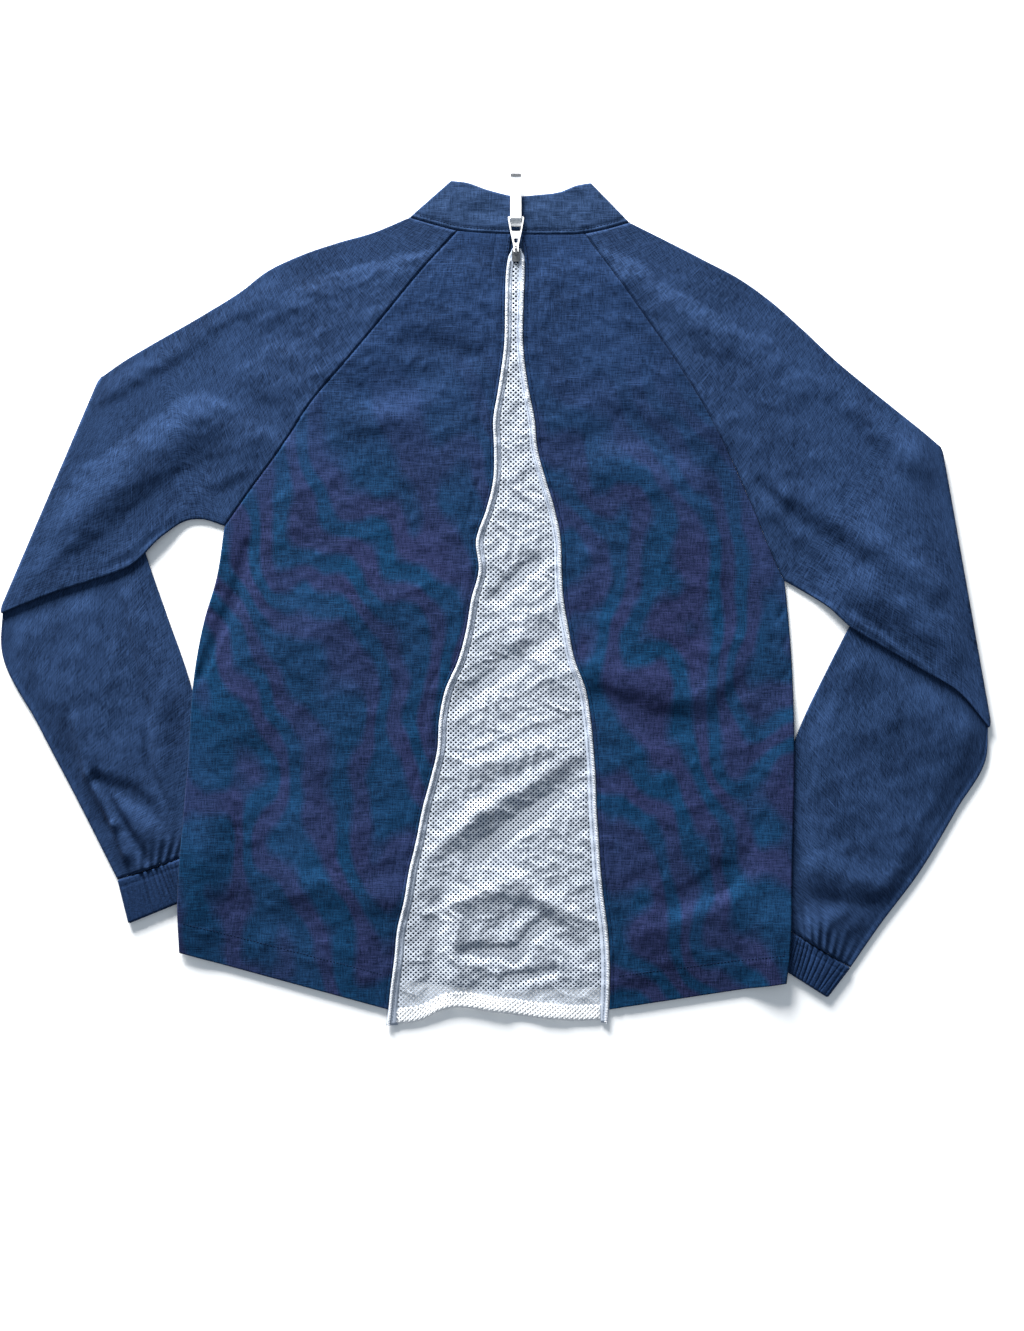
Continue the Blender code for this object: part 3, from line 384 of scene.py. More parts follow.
def rolled(distance, radius):
    """How far a layer drops where it rolls over its edge, this far in from the edge."""
    inwards = np.clip(1 - distance / radius, 0, 1)
    return radius * (1 - np.sqrt(1 - inwards**2))


def cloth_piece(name, x, y, z, cut, finish, wall, closed=False, body="jacket"):
    """A sheet of cloth through a grid of places, with a wall put on its inner side."""
    rows, columns = x.shape
    mesh = bpy.data.meshes.new(name)
    corner = np.arange(rows * columns).reshape(rows, columns)
    if closed:
        corner = np.concatenate([corner, corner[:, :1]], axis=1)
    quads = np.stack([corner[:-1, :-1], corner[:-1, 1:], corner[1:, 1:], corner[1:, :-1]], axis=-1)
    upper = quads[rows // 5, columns // 5]
    flat_x, flat_y = x.ravel()[upper], y.ravel()[upper]
    turn = sum(flat_x[i] * flat_y[(i + 1) % 4] - flat_x[(i + 1) % 4] * flat_y[i] for i in range(4))
    if turn < 0:
        quads = quads[..., ::-1]
    quads = quads.reshape(-1, 4)
    mesh.vertices.add(rows * columns)
    mesh.vertices.foreach_set("co", (np.stack([x, y, z], axis=-1) * MM).ravel())
    mesh.loops.add(quads.size)
    mesh.loops.foreach_set("vertex_index", quads.ravel())
    mesh.polygons.add(len(quads))
    mesh.polygons.foreach_set("loop_start", np.arange(0, quads.size, 4))
    mesh.polygons.foreach_set("loop_total", np.full(len(quads), 4))
    mesh.update(calc_edges=True)
    mesh.shade_smooth()
    grain = mesh.attributes.new("cut", "FLOAT_VECTOR", "POINT")
    grain.data.foreach_set("vector", (np.stack([*cut, np.zeros(x.shape)], axis=-1) * MM).ravel())
    mesh.materials.append(finish)
    obj = bpy.data.objects.new(name, mesh)
    bpy.context.scene.collection.objects.link(obj)
    thick = obj.modifiers.new("wall", "SOLIDIFY")
    thick.thickness = wall * MM
    thick.offset = -1.0
    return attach(obj, body)


def chambray(name, light, dark, painted_shot_sheen=0.0, yarn=80.0):
    """Blue chambray: white yarns crossing blue ones, with thick and thin yarns both ways. shot is how far
    the hue turns to teal and plum in painted bands, a painted sheen for where the two sets of yarns catch
    the light, and yarn is how often in a metre a yarn turns from thick to thin."""
    material, start, shader = new_finish(name)
    place = start.node("ShaderNodeAttribute", {"attribute_name": "cut"}, {}, output="Vector")
    weft = start.noise(place, (yarn, 1000.0, 1.0), 2.0, 0.6)
    warp = start.noise(place, (1000.0, yarn * 1.25, 1.0), 2.0, 0.6)
    slub = start.noise(place, (yarn * 0.42, 850.0, 1.0), 1.0).between(0.62, 0.80)
    fleck = start.noise(place, (1000.0, 1000.0, 1.0), 1.0)
    worn = start.noise(place, (14.0, 14.0, 1.0), 4.0, 0.6)
    tone = 0.5 + (weft - 0.5) * 1.3 + (warp - 0.5) * 1.3 + (fleck - 0.5) * 0.7 + slub * 0.55
    tone = tone + (worn - 0.5) * 0.8
    colour = start.mix(tone.between(-0.05, 1.10), dark, light)
    # Painted sheen: teal and plum bands painted into the colour where the yarns catch the light, strongest low on the
    # cloth.
    if painted_shot_sheen > 0:
        drift = start.noise(place, (6.0, 4.0, 1.0), 2.0, 0.5)
        ripple = start.noise(place, (20.0, 12.0, 1.0), 2.0, 0.5)
        patch = start.noise(place, (9.0, 7.0, 1.0), 2.0, 0.5)
        across = start.node("ShaderNodeSeparateXYZ", {}, {0: place}, output=0)
        along = start.node("ShaderNodeSeparateXYZ", {}, {0: place}, output=1)
        bands = start.maths("SINE", (across * 16.0 + along * 8.0 + drift * 8.0 + ripple * 0.9) * (2 * math.pi))
        low_down = 1 - along.between(0.02, 0.25)
        turn = 0.5 + bands * 0.9
        teal = start.mix(1.0, colour, (0.25, 1.10, 1.04), "MULTIPLY")
        plum = start.mix(1.0, colour, (1.62, 0.80, 0.90), "MULTIPLY")
        strength = low_down * (0.55 + patch.between(0.35, 0.65) * 0.45) * painted_shot_sheen
        colour = start.mix(strength, colour, start.mix(turn, teal, plum))
    weave = weft * 0.4 + warp * 0.4 + fleck * 0.3
    wire(shader, {"Base Color": colour, "Roughness": 0.86 + (worn - 0.5) * 0.15,
                  "Normal": raised(start, weave, 0.0003), "Specular IOR Level": 0.06,
                  "Sheen Weight": 0.01, "Sheen Roughness": 0.5})
    return material


CHAMBRAY_LIGHT = (0.0150, 0.0380, 0.1040)
CHAMBRAY_DARK = (0.0012, 0.0066, 0.0225)
body_chambray = chambray("body_chambray", CHAMBRAY_LIGHT, CHAMBRAY_DARK, painted_shot_sheen=0.95)


def front_stations(length):
    """Distances from the side seam across a front panel."""
    near = np.array([0.15, 0.5, 0.9, EDGE_R, 4.0]) * min(1.0, length / 180.0)
    return np.concatenate([near, np.linspace(near[-1], length - SEAM / 2, 32)[1:]])


FRONT_CUTS = {"left": (0.31, 0.69, 0.1506), "right": (0.29, 0.69, 0.1485)}
for side in SIDES:
    x, y, t, length, curl, from_hem = body_plan(side, False, FRONT_ROW, front_stations)
    z = body_lift(x, y) + rolled(t, EDGE_R) * curl
    width, height, area = FRONT_CUTS[side]
    front = cloth_piece("cloth_front_" + side, x, y, z, (x, y), body_chambray, CLOTH_WALL)
    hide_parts("front_" + side)

# Back panels: two halves of the same chambray, cut with raglan shoulders and
# sewn to the zip tapes with their edges turned under and stitched down. The hem
# is turned up in a wide band and stitched. They lie in soft folds.
LOFT = 2.6
LOFT_RAMP = 45.0
FOLD_RAMP = 25.0
FOLD_STRENGTH = 2.0
CRUMPLE_HEIGHT = 0.42
BACK_ROW = 3.0
BACK_COLUMNS = 84
SEAM_GROOVE = 1.1
SEAM_GROOVE_HALF = 1.2
NECK_GROOVE = 0.12
HEM_BAND = 30.0
HEM_BAND_RISE = 0.35
ZIP_STITCH_IN = 3.2
ZIP_PRESS_IN = 13.0
NEAR_SEAM = (0.15, 0.5, 0.9, EDGE_R, 2.1, 3.0, 4.2, 6.2, 9.0)
NEAR_ZIP = (16.0, 14.2, ZIP_PRESS_IN, 11.8, 9.0, 6.2, 4.4, ZIP_STITCH_IN, 2.0, 1.2, 0.6, 0.15)

Fold = namedtuple("Fold", "x0 y0 x1 y1 width height")
BACK_FOLDS = [Fold(*row) for row in (
    (18, 326, 18, 298, 22, -1.3),
    (-360, 144, -230, 230, 22, -1.9), (-355, 182, -210, 279, 13, 1.0),
    (-378, 72, -270, 162, 22, 1.6), (-369, 34, -266, 122, 16, -1.5),
    (-392, 4, -266, 79, 13, 1.2), (-248, 193, -190, 156, 13, -1.6),
    (-263, 85, -227, 102, 9, -1.2), (-172, 304, -57, 328, 13, -1.2),
    (-191, 243, -183, 236, 13, -1.2), (-117, 184, -59, 205, 16, -1.2),
    (-126, 166, -81, 161, 14, 1.0), (-78, 232, -18, 221, 9, -1.0),
    (-203, 117, -234, 36, 18, -1.6), (-234, 36, -260, -58, 14, -1.6),
    (-189, -257, -90, -269, 14, 1.0), (-252, -274, -176, -297, 16, -0.8),
    (-176, -36, -95, 0, 23, 0.8), (-221, -144, -149, -180, 23, -0.7),
    (106, 328, 252, 257, 13, -1.4), (121, 290, 203, 235, 14, 1.2),
    (152, 287, 227, 253, 18, -1.2), (264, 241, 279, 217, 14, -1.0),
    (306, 184, 387, 117, 14, 1.3), (297, 168, 410, 40, 22, -2.0),
    (265, 90, 391, 14, 14, 1.6), (270, 78, 331, 34, 11, -1.6),
    (249, 63, 288, 21, 9, -1.6), (349, -15, 384, -57, 11, -1.0),
    (337, 0, 418, -36, 18, 1.0), (209, 120, 227, -5, 18, -1.6),
    (227, -5, 258, -81, 16, -1.6), (219, 93, 235, 7, 7, -1.3), (235, 7, 250, -57, 7, -1.6),
    (250, -57, 260, -105, 6, -1.1), (243, 25, 257, -40, 7, 0.9), (238, 105, 262, 80, 5, -1.5),
    (-209, 107, -224, 68, 6, -1.2), (-224, 68, -229, 36, 6, -1.4), (70, 135, 118, 156, 14, -1.0),
    (118, 156, 167, 131, 14, -1.0), (103, 122, 148, 108, 16, 0.9),
    (92, -68, 189, -90, 18, 1.2), (92, -85, 152, -114, 13, -1.5),
    (152, -114, 207, -104, 13, -1.2), (207, -90, 238, -64, 9, -1.2),
    (161, -275, 201, -254, 13, -1.3), (201, -254, 238, -226, 11, -1.3),
    (241, -210, 262, -182, 11, -1.2), (139, -297, 220, -274, 16, 1.0))]


# Puckers close to an edge, where the seam below draws the cloth in
PUCKER_RAMP = 5.0
DEEPEST_PUCKER = 2.0
EDGE_PUCKERS = [Fold(*row) for row in (
    (318, -8, 350, -28, 3.6, -1.6), (350, -28, 366, -42, 3.0, -1.8), (366, -42, 392, -58, 3.2, -1.1),
    (322, -17, 348, -34, 3.4, 1.2), (354, -38, 380, -55, 3.4, 1.2), (286, 8, 300, -2, 4.0, -1.1),
    (-224, 48, -235, 2, 5.0, -2.4), (-235, 2, -247, -23, 4.6, -2.8), (-247, -23, -265, -68, 4.2, -2.6),
    (-243, 36, -236, 28, 3.0, -1.2), (-250, 10, -241, 0, 3.0, -1.2), (-256, -10, -248, -16, 3.0, -1.1),
    (246, 2, 251, -36, 4.6, -1.0), (251, -36, 261, -84, 4.4, -1.0), (260, -8, 254, -18, 2.8, -1.2),
    (265, -34, 257, -44, 2.8, -0.9), (267, -62, 259, -70, 2.8, -0.7),
    (-330, 38, -352, 28, 3.4, -1.0), (-300, 62, -318, 48, 3.4, -0.9))]


def relief(folds, x, y):
    """Height that a table of folds adds."""
    total = np.zeros(np.shape(x))
    for fold in folds:
        spread = distance_to(fold.x0, fold.y0, fold.x1, fold.y1, x, y) / fold.width
        total += fold.height * np.exp(-spread**2)
    return total


def garment_outline():
    """The body and upper arms from above, as one closed outline."""
    shares = np.linspace(0, 1, 14)[:-1]
    parts = [curve(NECK, shares)]
    parts += [curve(RIGHT.over, shares), curve(RIGHT.fold, (0, 0.5))]
    parts += [curve(RIGHT.under[::-1], shares), curve(RIGHT.side, shares)]
    parts += [np.array([RIGHT.side[-1]]), curve(MESH_HEM[::-1], shares)]
    parts += [curve(LEFT.side[::-1], shares), curve(LEFT.under, shares)]
    parts += [curve(LEFT.fold[::-1], (0, 0.5)), curve(LEFT.over[::-1], shares)]
    return np.concatenate(parts)


GARMENT = garment_outline()
chance = np.random.default_rng(7)
Crease = namedtuple("Crease", "angle length phase height bend")
CREASES = [Crease(chance.uniform(0, math.pi), length, chance.uniform(0, 2 * math.pi),
                  (length / 60.0)**0.8, chance.uniform(0.5, 1.4))
           for length in (61.0, 53.0, 47.0, 39.0, 33.0, 28.0, 24.0, 20.0, 17.0, 14.0)]


def crumple(x, y):
    """Small uneven creases from handling: crossing waves, bent by one another."""
    total = np.zeros(np.shape(x))
    before = np.zeros(np.shape(x))
    for crease in CREASES:
        wave_x, wave_y = math.cos(crease.angle), math.sin(crease.angle)
        wave = np.sin((x * wave_x + y * wave_y) * 2 * math.pi / crease.length
                      + crease.phase + crease.bend * before)
        total += crease.height * (1 - 2 * np.abs(wave)**0.7) * 0.5
        before = wave + 0.5 * before
    return CRUMPLE_HEIGHT * total


def top_height(x, y, lift):
    """Upper face of the uppermost cloth layer of the body and upper arms."""
    depth = depth_inside(GARMENT, x, y)
    folds = FOLD_STRENGTH * relief(BACK_FOLDS, x, y) + crumple(x, y)
    rise = LOFT * smooth(depth / LOFT_RAMP) + folds * smooth(depth / FOLD_RAMP)
    puckers = relief(EDGE_PUCKERS, x, y) * smooth(depth / PUCKER_RAMP)
    return lift + 2 * EDGE_R + np.maximum(rise, 0) + np.maximum(puckers, -DEEPEST_PUCKER)


def back_stations(length):
    """Distances from the side or raglan seam across a back panel, close at both edges."""
    share = min(1.0, length / 90.0)
    near = np.array(NEAR_SEAM) * share
    far = length - np.array(NEAR_ZIP) * share
    return np.concatenate([near, np.linspace(near[-1], far[0], BACK_COLUMNS)[1:-1], far])


def groove(distance, half, depth):
    return depth * np.exp(-(distance / half)**2)


BACK_CUTS = {"left": (0.30, 0.71, 0.1285), "right": (0.25, 0.70, 0.1114)}
back_grids = {}
for side in SIDES:
    x, y, t, length, curl, from_hem = body_plan(side, True, BACK_ROW, back_stations)
    from_zip = length - t
    drop = rolled(t, EDGE_R) * curl + groove(t, SEAM_GROOVE_HALF, SEAM_GROOVE) * (1 - curl)
    drop = drop + rolled(from_zip, 0.9) + groove(from_zip - ZIP_STITCH_IN, 0.9, 0.45)
    drop = drop + groove(from_zip - ZIP_PRESS_IN, 1.6, 0.40) + rolled(from_hem, 1.0)
    drop = drop + groove(from_hem - HEM_BAND, 1.0, 0.45)
    rise = HEM_BAND_RISE * (1 - smooth((from_hem - HEM_BAND) / 2.0))
    neck_roll = groove(neck_y(x) - y, SEAM_GROOVE_HALF, NECK_GROOVE)
    z = top_height(x, y, body_lift(x, y)) - drop + rise - neck_roll
    back_grids[side] = (x, y, z)
    width, height, area = BACK_CUTS[side]
    back = cloth_piece("cloth_back_" + side, x, y, z, (x, y), body_chambray, CLOTH_WALL)
    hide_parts("back_" + side)
    "cloth_front_" + side

# Sleeves: one raglan sleeve a side, a tube from the raglan seam and the neck to
# the cuff, with its seam under the arm. Each is folded under at the elbow, so
# that the forearm lies below the upper arm with its other side up.
FOLD_AXIS_Z = 2 * EDGE_R + LAYER_GAP / 2
FOLD_LIFT = 2 * EDGE_R + LAYER_GAP
FOLD_LIFT_START = 12.0
FOLD_LIFT_RAMP = 36.0
FOLD_CORNER = 9.0
FOREARM_LOFT = 3.2
FOREARM_RAMP = 20.0
RAGLAN_STEPS = 90
ARM_STEPS = 44
FOLD_STEPS = 10
FOREARM_STEPS = 76
SLEEVE_COLUMNS = 54
SLEEVE_GATHERS = 9
GATHER_HEIGHT = 1.2
GATHER_LENGTH = 38.0
UNDERARM_SEAM_IN = 5.5

FOREARM_FOLDS = [Fold(*row) for row in (
    (-357, 12, -346, -38, 3.2, -2.6), (-345, 10, -329, -58, 6, -2.4), (-329, -58, -316, -100, 5, -2.4),
    (-315, -100, -312, -152, 3.6, -1.8), (-312, -152, -291, -200, 3.6, -2.2),
    (-291, -200, -286, -231, 3.4, -2.4), (-377, -108, -366, -158, 4.5, 1.3),
    (-366, -158, -343, -202, 3.8, 2.0), (-343, -202, -333, -231, 3.4, 1.8),
    (-359, -158, -333, -205, 3.6, -2.0), (-333, -205, -315, -233, 3.4, -2.2),
    (-322, -20, -298, -96, 10, 1.0), (-362, -160, -332, -173, 5, -1.6),
    (-332, -173, -294, -201, 8, -1.8), (-341, -180, -315, -209, 11, 1.0),
    (-380, -170, -352, -205, 6, -0.9),
    (-392, -81, -356, -153, 14, 0.9), (272, -238, 350, -259, 13, 1.4), (281, -270, 341, -276, 9, -1.3),
    (337, -144, 391, -198, 20, -0.9), (369, -90, 409, -126, 18, 1.0), (319, -90, 364, -81, 16, -0.9),
    (288, -297, 319, -274, 9, 1.0))]


def forearm_outline(side):
    """The part of a forearm that nothing covers, run on past the cuff."""
    s = SIDES[side]
    shares = np.linspace(0, 1, 14)
    under = curve(s.under[2:], shares)
    outer = curve(s.fore_outer, shares)
    past = np.array([s.cuff_end[0]]) * 1.2 - np.array([s.fore_outer[-1]]) * 0.2
    side_edge = curve(s.side[::-1], shares)
    inner = curve(s.fore_inner[1:4], shares)[::-1]
    body_x = side_edge[side_edge[:, 1] < inner[0][1]]
    return np.concatenate([under, outer, past, body_x, inner])


FOREARM = {side: forearm_outline(side) for side in SIDES}


def arm_lift(side, x, y):
    """How far the folded forearm lifts the upper arm: full over it, and falling towards the body."""
    (x0, y0), (x1, y1) = SIDES[side].fore_inner[:2]
    towards_body = ((x - x0) * (y0 - y1) + (y - y0) * (x1 - x0)) / math.hypot(x1 - x0, y1 - y0)
    if side == "right":
        towards_body = -towards_body
    return FOLD_LIFT * (1 - smooth((towards_body - FOLD_LIFT_START) / FOLD_LIFT_RAMP))


def forearm_height(side, x, y):
    """Upper face of a forearm."""
    depth = depth_inside(FOREARM[side], x, y)
    folds = FOLD_STRENGTH * relief(FOREARM_FOLDS, x, y) + crumple(x, y)
    rise = FOREARM_LOFT * smooth((depth - 4.0) / FOREARM_RAMP) + folds * smooth((depth - 4.0) / 14.0)
    return 2 * EDGE_R + np.maximum(rise, 0)


SleeveRow = namedtuple("SleeveRow", "start end angle curl on_raglan along")


def sleeve_rows(side):
    """Section lines of a sleeve, from the neck to the cuff: its seam end, its over end, its angle
    round the elbow fold, how far its seam edge curls, and its distance down the sleeve."""
    s = SIDES[side]
    top, low = np.array(s.fold)
    along = (low - top) / np.hypot(*(low - top))
    outward = np.array([along[1], -along[0]])
    if (outward[0] > 0) != (side == "right"):
        outward = -outward
    axis_top, axis_low = top - outward * FOLD_AXIS_Z, low - outward * FOLD_AXIS_Z
    over_edge = list(s.over[:-1]) + [axis_top]
    shares = np.linspace(0, 1, RAGLAN_STEPS + 1)
    lines = [(u, o, 0.0, 0.0, True) for u, o in
             zip(curve(s.raglan, shares), curve(over_edge, shares * s.armpit_share))]
    shares = np.linspace(0, 1, ARM_STEPS + 1)[1:-1]
    under = curve(list(s.under[:-1]) + [axis_low], shares)
    over = curve(over_edge, s.armpit_share + (1 - s.armpit_share) * shares)
    lines += [(u, o, 0.0, min(1.0, share * 16), False) for u, o, share in zip(under, over, shares)]
    lines += [(axis_low, axis_top, angle, 1.0, False) for angle in np.linspace(0, 180, FOLD_STEPS + 1)]
    shares = np.linspace(0, 1, FOREARM_STEPS + 1)[1:]
    outer = curve([axis_low] + list(s.fore_outer[1:]), shares)
    inner = curve([axis_top] + list(s.fore_inner[1:]), shares)
    lines += [(u, o, 180.0, 1.0, False) for u, o in zip(outer, inner)]
    middles = np.array([(line[0] + line[1]) / 2 for line in lines])
    down = np.concatenate([[0], np.cumsum(np.hypot(*np.diff(middles, axis=0).T))])
    return outward, [SleeveRow(*line, float(d)) for line, d in zip(lines, down)]


def sleeve(side):
    """A sleeve's places and its cut's places: under seam, over the upper layer, and back below."""
    outward, rows = sleeve_rows(side)
    towards_cuff = np.array(SIDES[side].cuff_end[0]) - rows[-1].start
    towards_cuff = towards_cuff / np.hypot(*towards_cuff)
    grids = []
    for k, row in enumerate(rows):
        along = row.end - row.start
        length = float(np.hypot(*along))
        along = along / length
        near = np.array(NEAR_SEAM) * min(1.0, length / 90.0)
        far = length - EDGE_R * (1 - np.sin(np.radians([0, 18, 36, 54, 72, 90])))
        t = np.concatenate([near, np.linspace(near[-1], far[0], SLEEVE_COLUMNS)[1:-1], far])
        layers = [(True, t), (False, t[:-1][::-1])]
        places = []
        for is_upper, stations in layers:
            x = row.start[0] + along[0] * stations
            y = row.start[1] + along[1] * stations
            if k == 0:
                y = neck_y(x) - SEAM
            drop = rolled(stations, EDGE_R) * row.curl + rolled(length - stations, EDGE_R)
            if row.on_raglan or row.curl < 1:
                drop = drop + groove(stations, SEAM_GROOVE_HALF, SEAM_GROOVE) * (1 - row.curl)
            if row.angle == 0:
                lift = arm_lift(side, x, y)
                z = top_height(x, y, lift) - drop if is_upper else lift + drop
            elif row.angle == 180:
                height = forearm_height(side, x, y)
                from_cuff = distance_to(*rows[-1].start, *rows[-1].end, x, y)
                wave = np.cos(2 * math.pi * SLEEVE_GATHERS * stations / length)
                wave = wave * np.sin(math.pi * stations / length)
                height = height + GATHER_HEIGHT * wave * (1 - smooth(from_cuff / GATHER_LENGTH))
                rolled_seam = groove(stations - UNDERARM_SEAM_IN, 1.1, 0.9)
                z = drop if is_upper else height - drop - rolled_seam
            else:
                turn = math.radians(row.angle)
                radius = FOLD_AXIS_Z - drop if is_upper else LAYER_GAP / 2 + drop
                from_corner = np.clip(np.minimum(stations, length - stations) / FOLD_CORNER, 0, 1)
                reach = radius * math.sin(turn) * np.sqrt(1 - (1 - from_corner)**2)
                x = x + outward[0] * reach
                y = y + outward[1] * reach
                z = FOLD_AXIS_Z + radius * math.cos(turn)
            if k == len(rows) - 1:
                x = x - towards_cuff[0] * SEAM / 2
                y = y - towards_cuff[1] * SEAM / 2
            across = stations if is_upper else 2 * length - stations
            places.append(np.stack([x, y, z, across, np.full(len(x), row.along)], axis=-1))
        grids.append(np.concatenate(places))
    return np.array(grids)


# The sleeves wear the body's chambray painted lighter: painted light, for the stronger light that falls on the
# sleeves.
LIT_SLEEVE_LIGHT = (0.0210, 0.0475, 0.1200)
LIT_SLEEVE_DARK = (0.0014, 0.0069, 0.0228)
painted_lit_sleeve_chambray = chambray("painted_lit_sleeve_chambray", LIT_SLEEVE_LIGHT, LIT_SLEEVE_DARK, yarn=95.0)
SLEEVE_CUTS = {"left": (0.52, 0.84, 0.205), "right": (0.52, 0.86, 0.225)}
for side in SIDES:
    grid = sleeve(side)
    width, height, area = SLEEVE_CUTS[side]
    arm = cloth_piece("cloth_sleeve_" + side, grid[..., 0], grid[..., 1], grid[..., 2],
                      (grid[..., 3], grid[..., 4]), painted_lit_sleeve_chambray, CLOTH_WALL)
    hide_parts("sleeve_" + side)

# Cuffs: a band of doubled chambray round each wrist, drawn in by the elastic
# inside it, so that it stands in uneven narrow pleats from its seam to its edge.
CUFF_WALL = 1.0
CUFF_R = 2.2
CUFF_ROWS = 34
CUFF_PUFF = 0.9
CUFF_EDGE_ROLL = 1.6
CUFF_SEAM_BAND = 7.0

Pleat = namedtuple("Pleat", "place width depth slant")
CUFF_PLEATS = {
    "left": [Pleat(*row) for row in (
        (0.07, 0.020, 0.5, 0.03), (0.16, 0.014, 0.4, 0.02), (0.27, 0.022, 0.9, 0.02),
        (0.35, 0.013, 1.9, 0.05), (0.425, 0.011, 1.4, 0.06), (0.49, 0.015, 2.1, 0.09),
        (0.56, 0.011, 1.5, 0.10), (0.62, 0.013, 2.2, 0.13), (0.68, 0.010, 1.5, 0.14),
        (0.73, 0.013, 2.0, 0.12), (0.79, 0.010, 1.3, 0.07), (0.85, 0.012, 1.2, 0.04),
        (0.91, 0.010, 0.7, 0.02), (0.96, 0.009, 0.6, 0.01))],
    "right": [Pleat(*row) for row in (
        (0.05, 0.018, 0.6, -0.02), (0.13, 0.013, 0.6, 0.03), (0.22, 0.018, 0.8, -0.03),
        (0.33, 0.014, 0.7, -0.05), (0.42, 0.016, 0.9, -0.04), (0.51, 0.013, 1.0, -0.06),
        (0.60, 0.014, 1.3, -0.08), (0.68, 0.011, 1.0, -0.08), (0.745, 0.013, 1.4, -0.07),
        (0.81, 0.010, 1.0, -0.06), (0.865, 0.012, 1.3, -0.04), (0.92, 0.010, 0.9, -0.02),
        (0.965, 0.009, 0.7, -0.01))]}
cuff_chambray = chambray("cuff_chambray", CHAMBRAY_LIGHT, CHAMBRAY_DARK)


def cuff(side):
    """A cuff's places and its cut's places: a flattened ring, over the top, round, and back below."""
    s = SIDES[side]
    starts = np.array([s.fore_outer[-1], s.cuff_end[0]])
    ends = np.array([s.fore_inner[-1], s.cuff_end[1]])
    height = float(np.hypot(*(starts[1] - starts[0])))
    towards = (starts[1] - starts[0]) / height
    turn = np.radians(np.linspace(0, 180, 13)[1:-1])
    top = np.linspace(0, 1, 150)
    below = np.linspace(1, 0, 30)
    rows = []
    for share in np.linspace(0, 1, CUFF_ROWS):
        start = starts[0] * (1 - share) + starts[1] * share + towards * SEAM / 2 * (1 - share)
        end = ends[0] * (1 - share) + ends[1] * share + towards * SEAM / 2 * (1 - share)
        along = end - start
        length = float(np.hypot(*along))
        along = along / length
        from_edge = min(share, 1 - share) * height
        tuck = float(rolled(np.array(from_edge), CUFF_EDGE_ROLL))
        band = groove(share * height - CUFF_SEAM_BAND, 0.9, 0.45)
        radius = CUFF_R - 0.8 * tuck
        flat = length - 2 * CUFF_R
        pleats = sum(p.depth * np.exp(-((top - p.place - p.slant * (share - 0.2)) / p.width)**2)
                     for p in CUFF_PLEATS[side])
        puff = CUFF_PUFF * np.sin(math.pi * share)**0.4 * np.sin(math.pi * top)**0.3
        upper = CUFF_R + radius + puff - pleats * (0.45 + 0.55 * math.sin(math.pi * share)) - band
        t = np.concatenate([CUFF_R + flat * top, CUFF_R + flat + radius * np.sin(turn),
                            CUFF_R + flat * below, CUFF_R - radius * np.sin(turn)])
        z = np.concatenate([upper, CUFF_R + radius * np.cos(turn),
                            np.full(len(below), CUFF_R - radius), CUFF_R - radius * np.cos(turn)])
        ring = 1.5 * np.arange(len(t))
        rows.append(np.stack([start[0] + along[0] * t, start[1] + along[1] * t, z,
                              ring, np.full(len(t), share * height)], axis=-1))
    return np.array(rows)


for side in SIDES:
    grid = cuff(side)
    band = cloth_piece("cloth_cuff_" + side, grid[..., 0], grid[..., 1], grid[..., 2],
                       (grid[..., 3], grid[..., 4]), cuff_chambray, CUFF_WALL, closed=True)
    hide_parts("cuff_" + side)

# Collar: a low stand of doubled chambray, from the centre front round the back
# of the neck. Its lower edge is stitched down just above the neck seam.
COLLAR_WALL = 1.0
COLLAR_ROWS = 26
COLLAR_BACK_COLUMNS = 150
COLLAR_PUFF = 0.45
COLLAR_STITCH_UP = 3.6
COLLAR_TOP = ((-40.1, 378.0), (-25.7, 376.2), (-7.7, 369.9), (18.4, 364.2), (41.0, 365.6),
              (57.1, 367.7), (74.2, 374.0), (86.0, 376.0))
COLLAR_FOLDS = [Fold(*row) for row in (
    (-20, 350, 8, 349, 7, -0.5), (-30, 362, 0, 358, 9, 0.4), (30, 352, 60, 350, 8, 0.3),
    (66, 352, 96, 344, 8, -0.4), (40, 359, 75, 362, 7, -0.3))]
COLLAR_LIGHT = (0.027, 0.056, 0.132)
COLLAR_DARK = (0.004, 0.013, 0.036)
collar_chambray = chambray("collar_chambray", COLLAR_LIGHT, COLLAR_DARK)


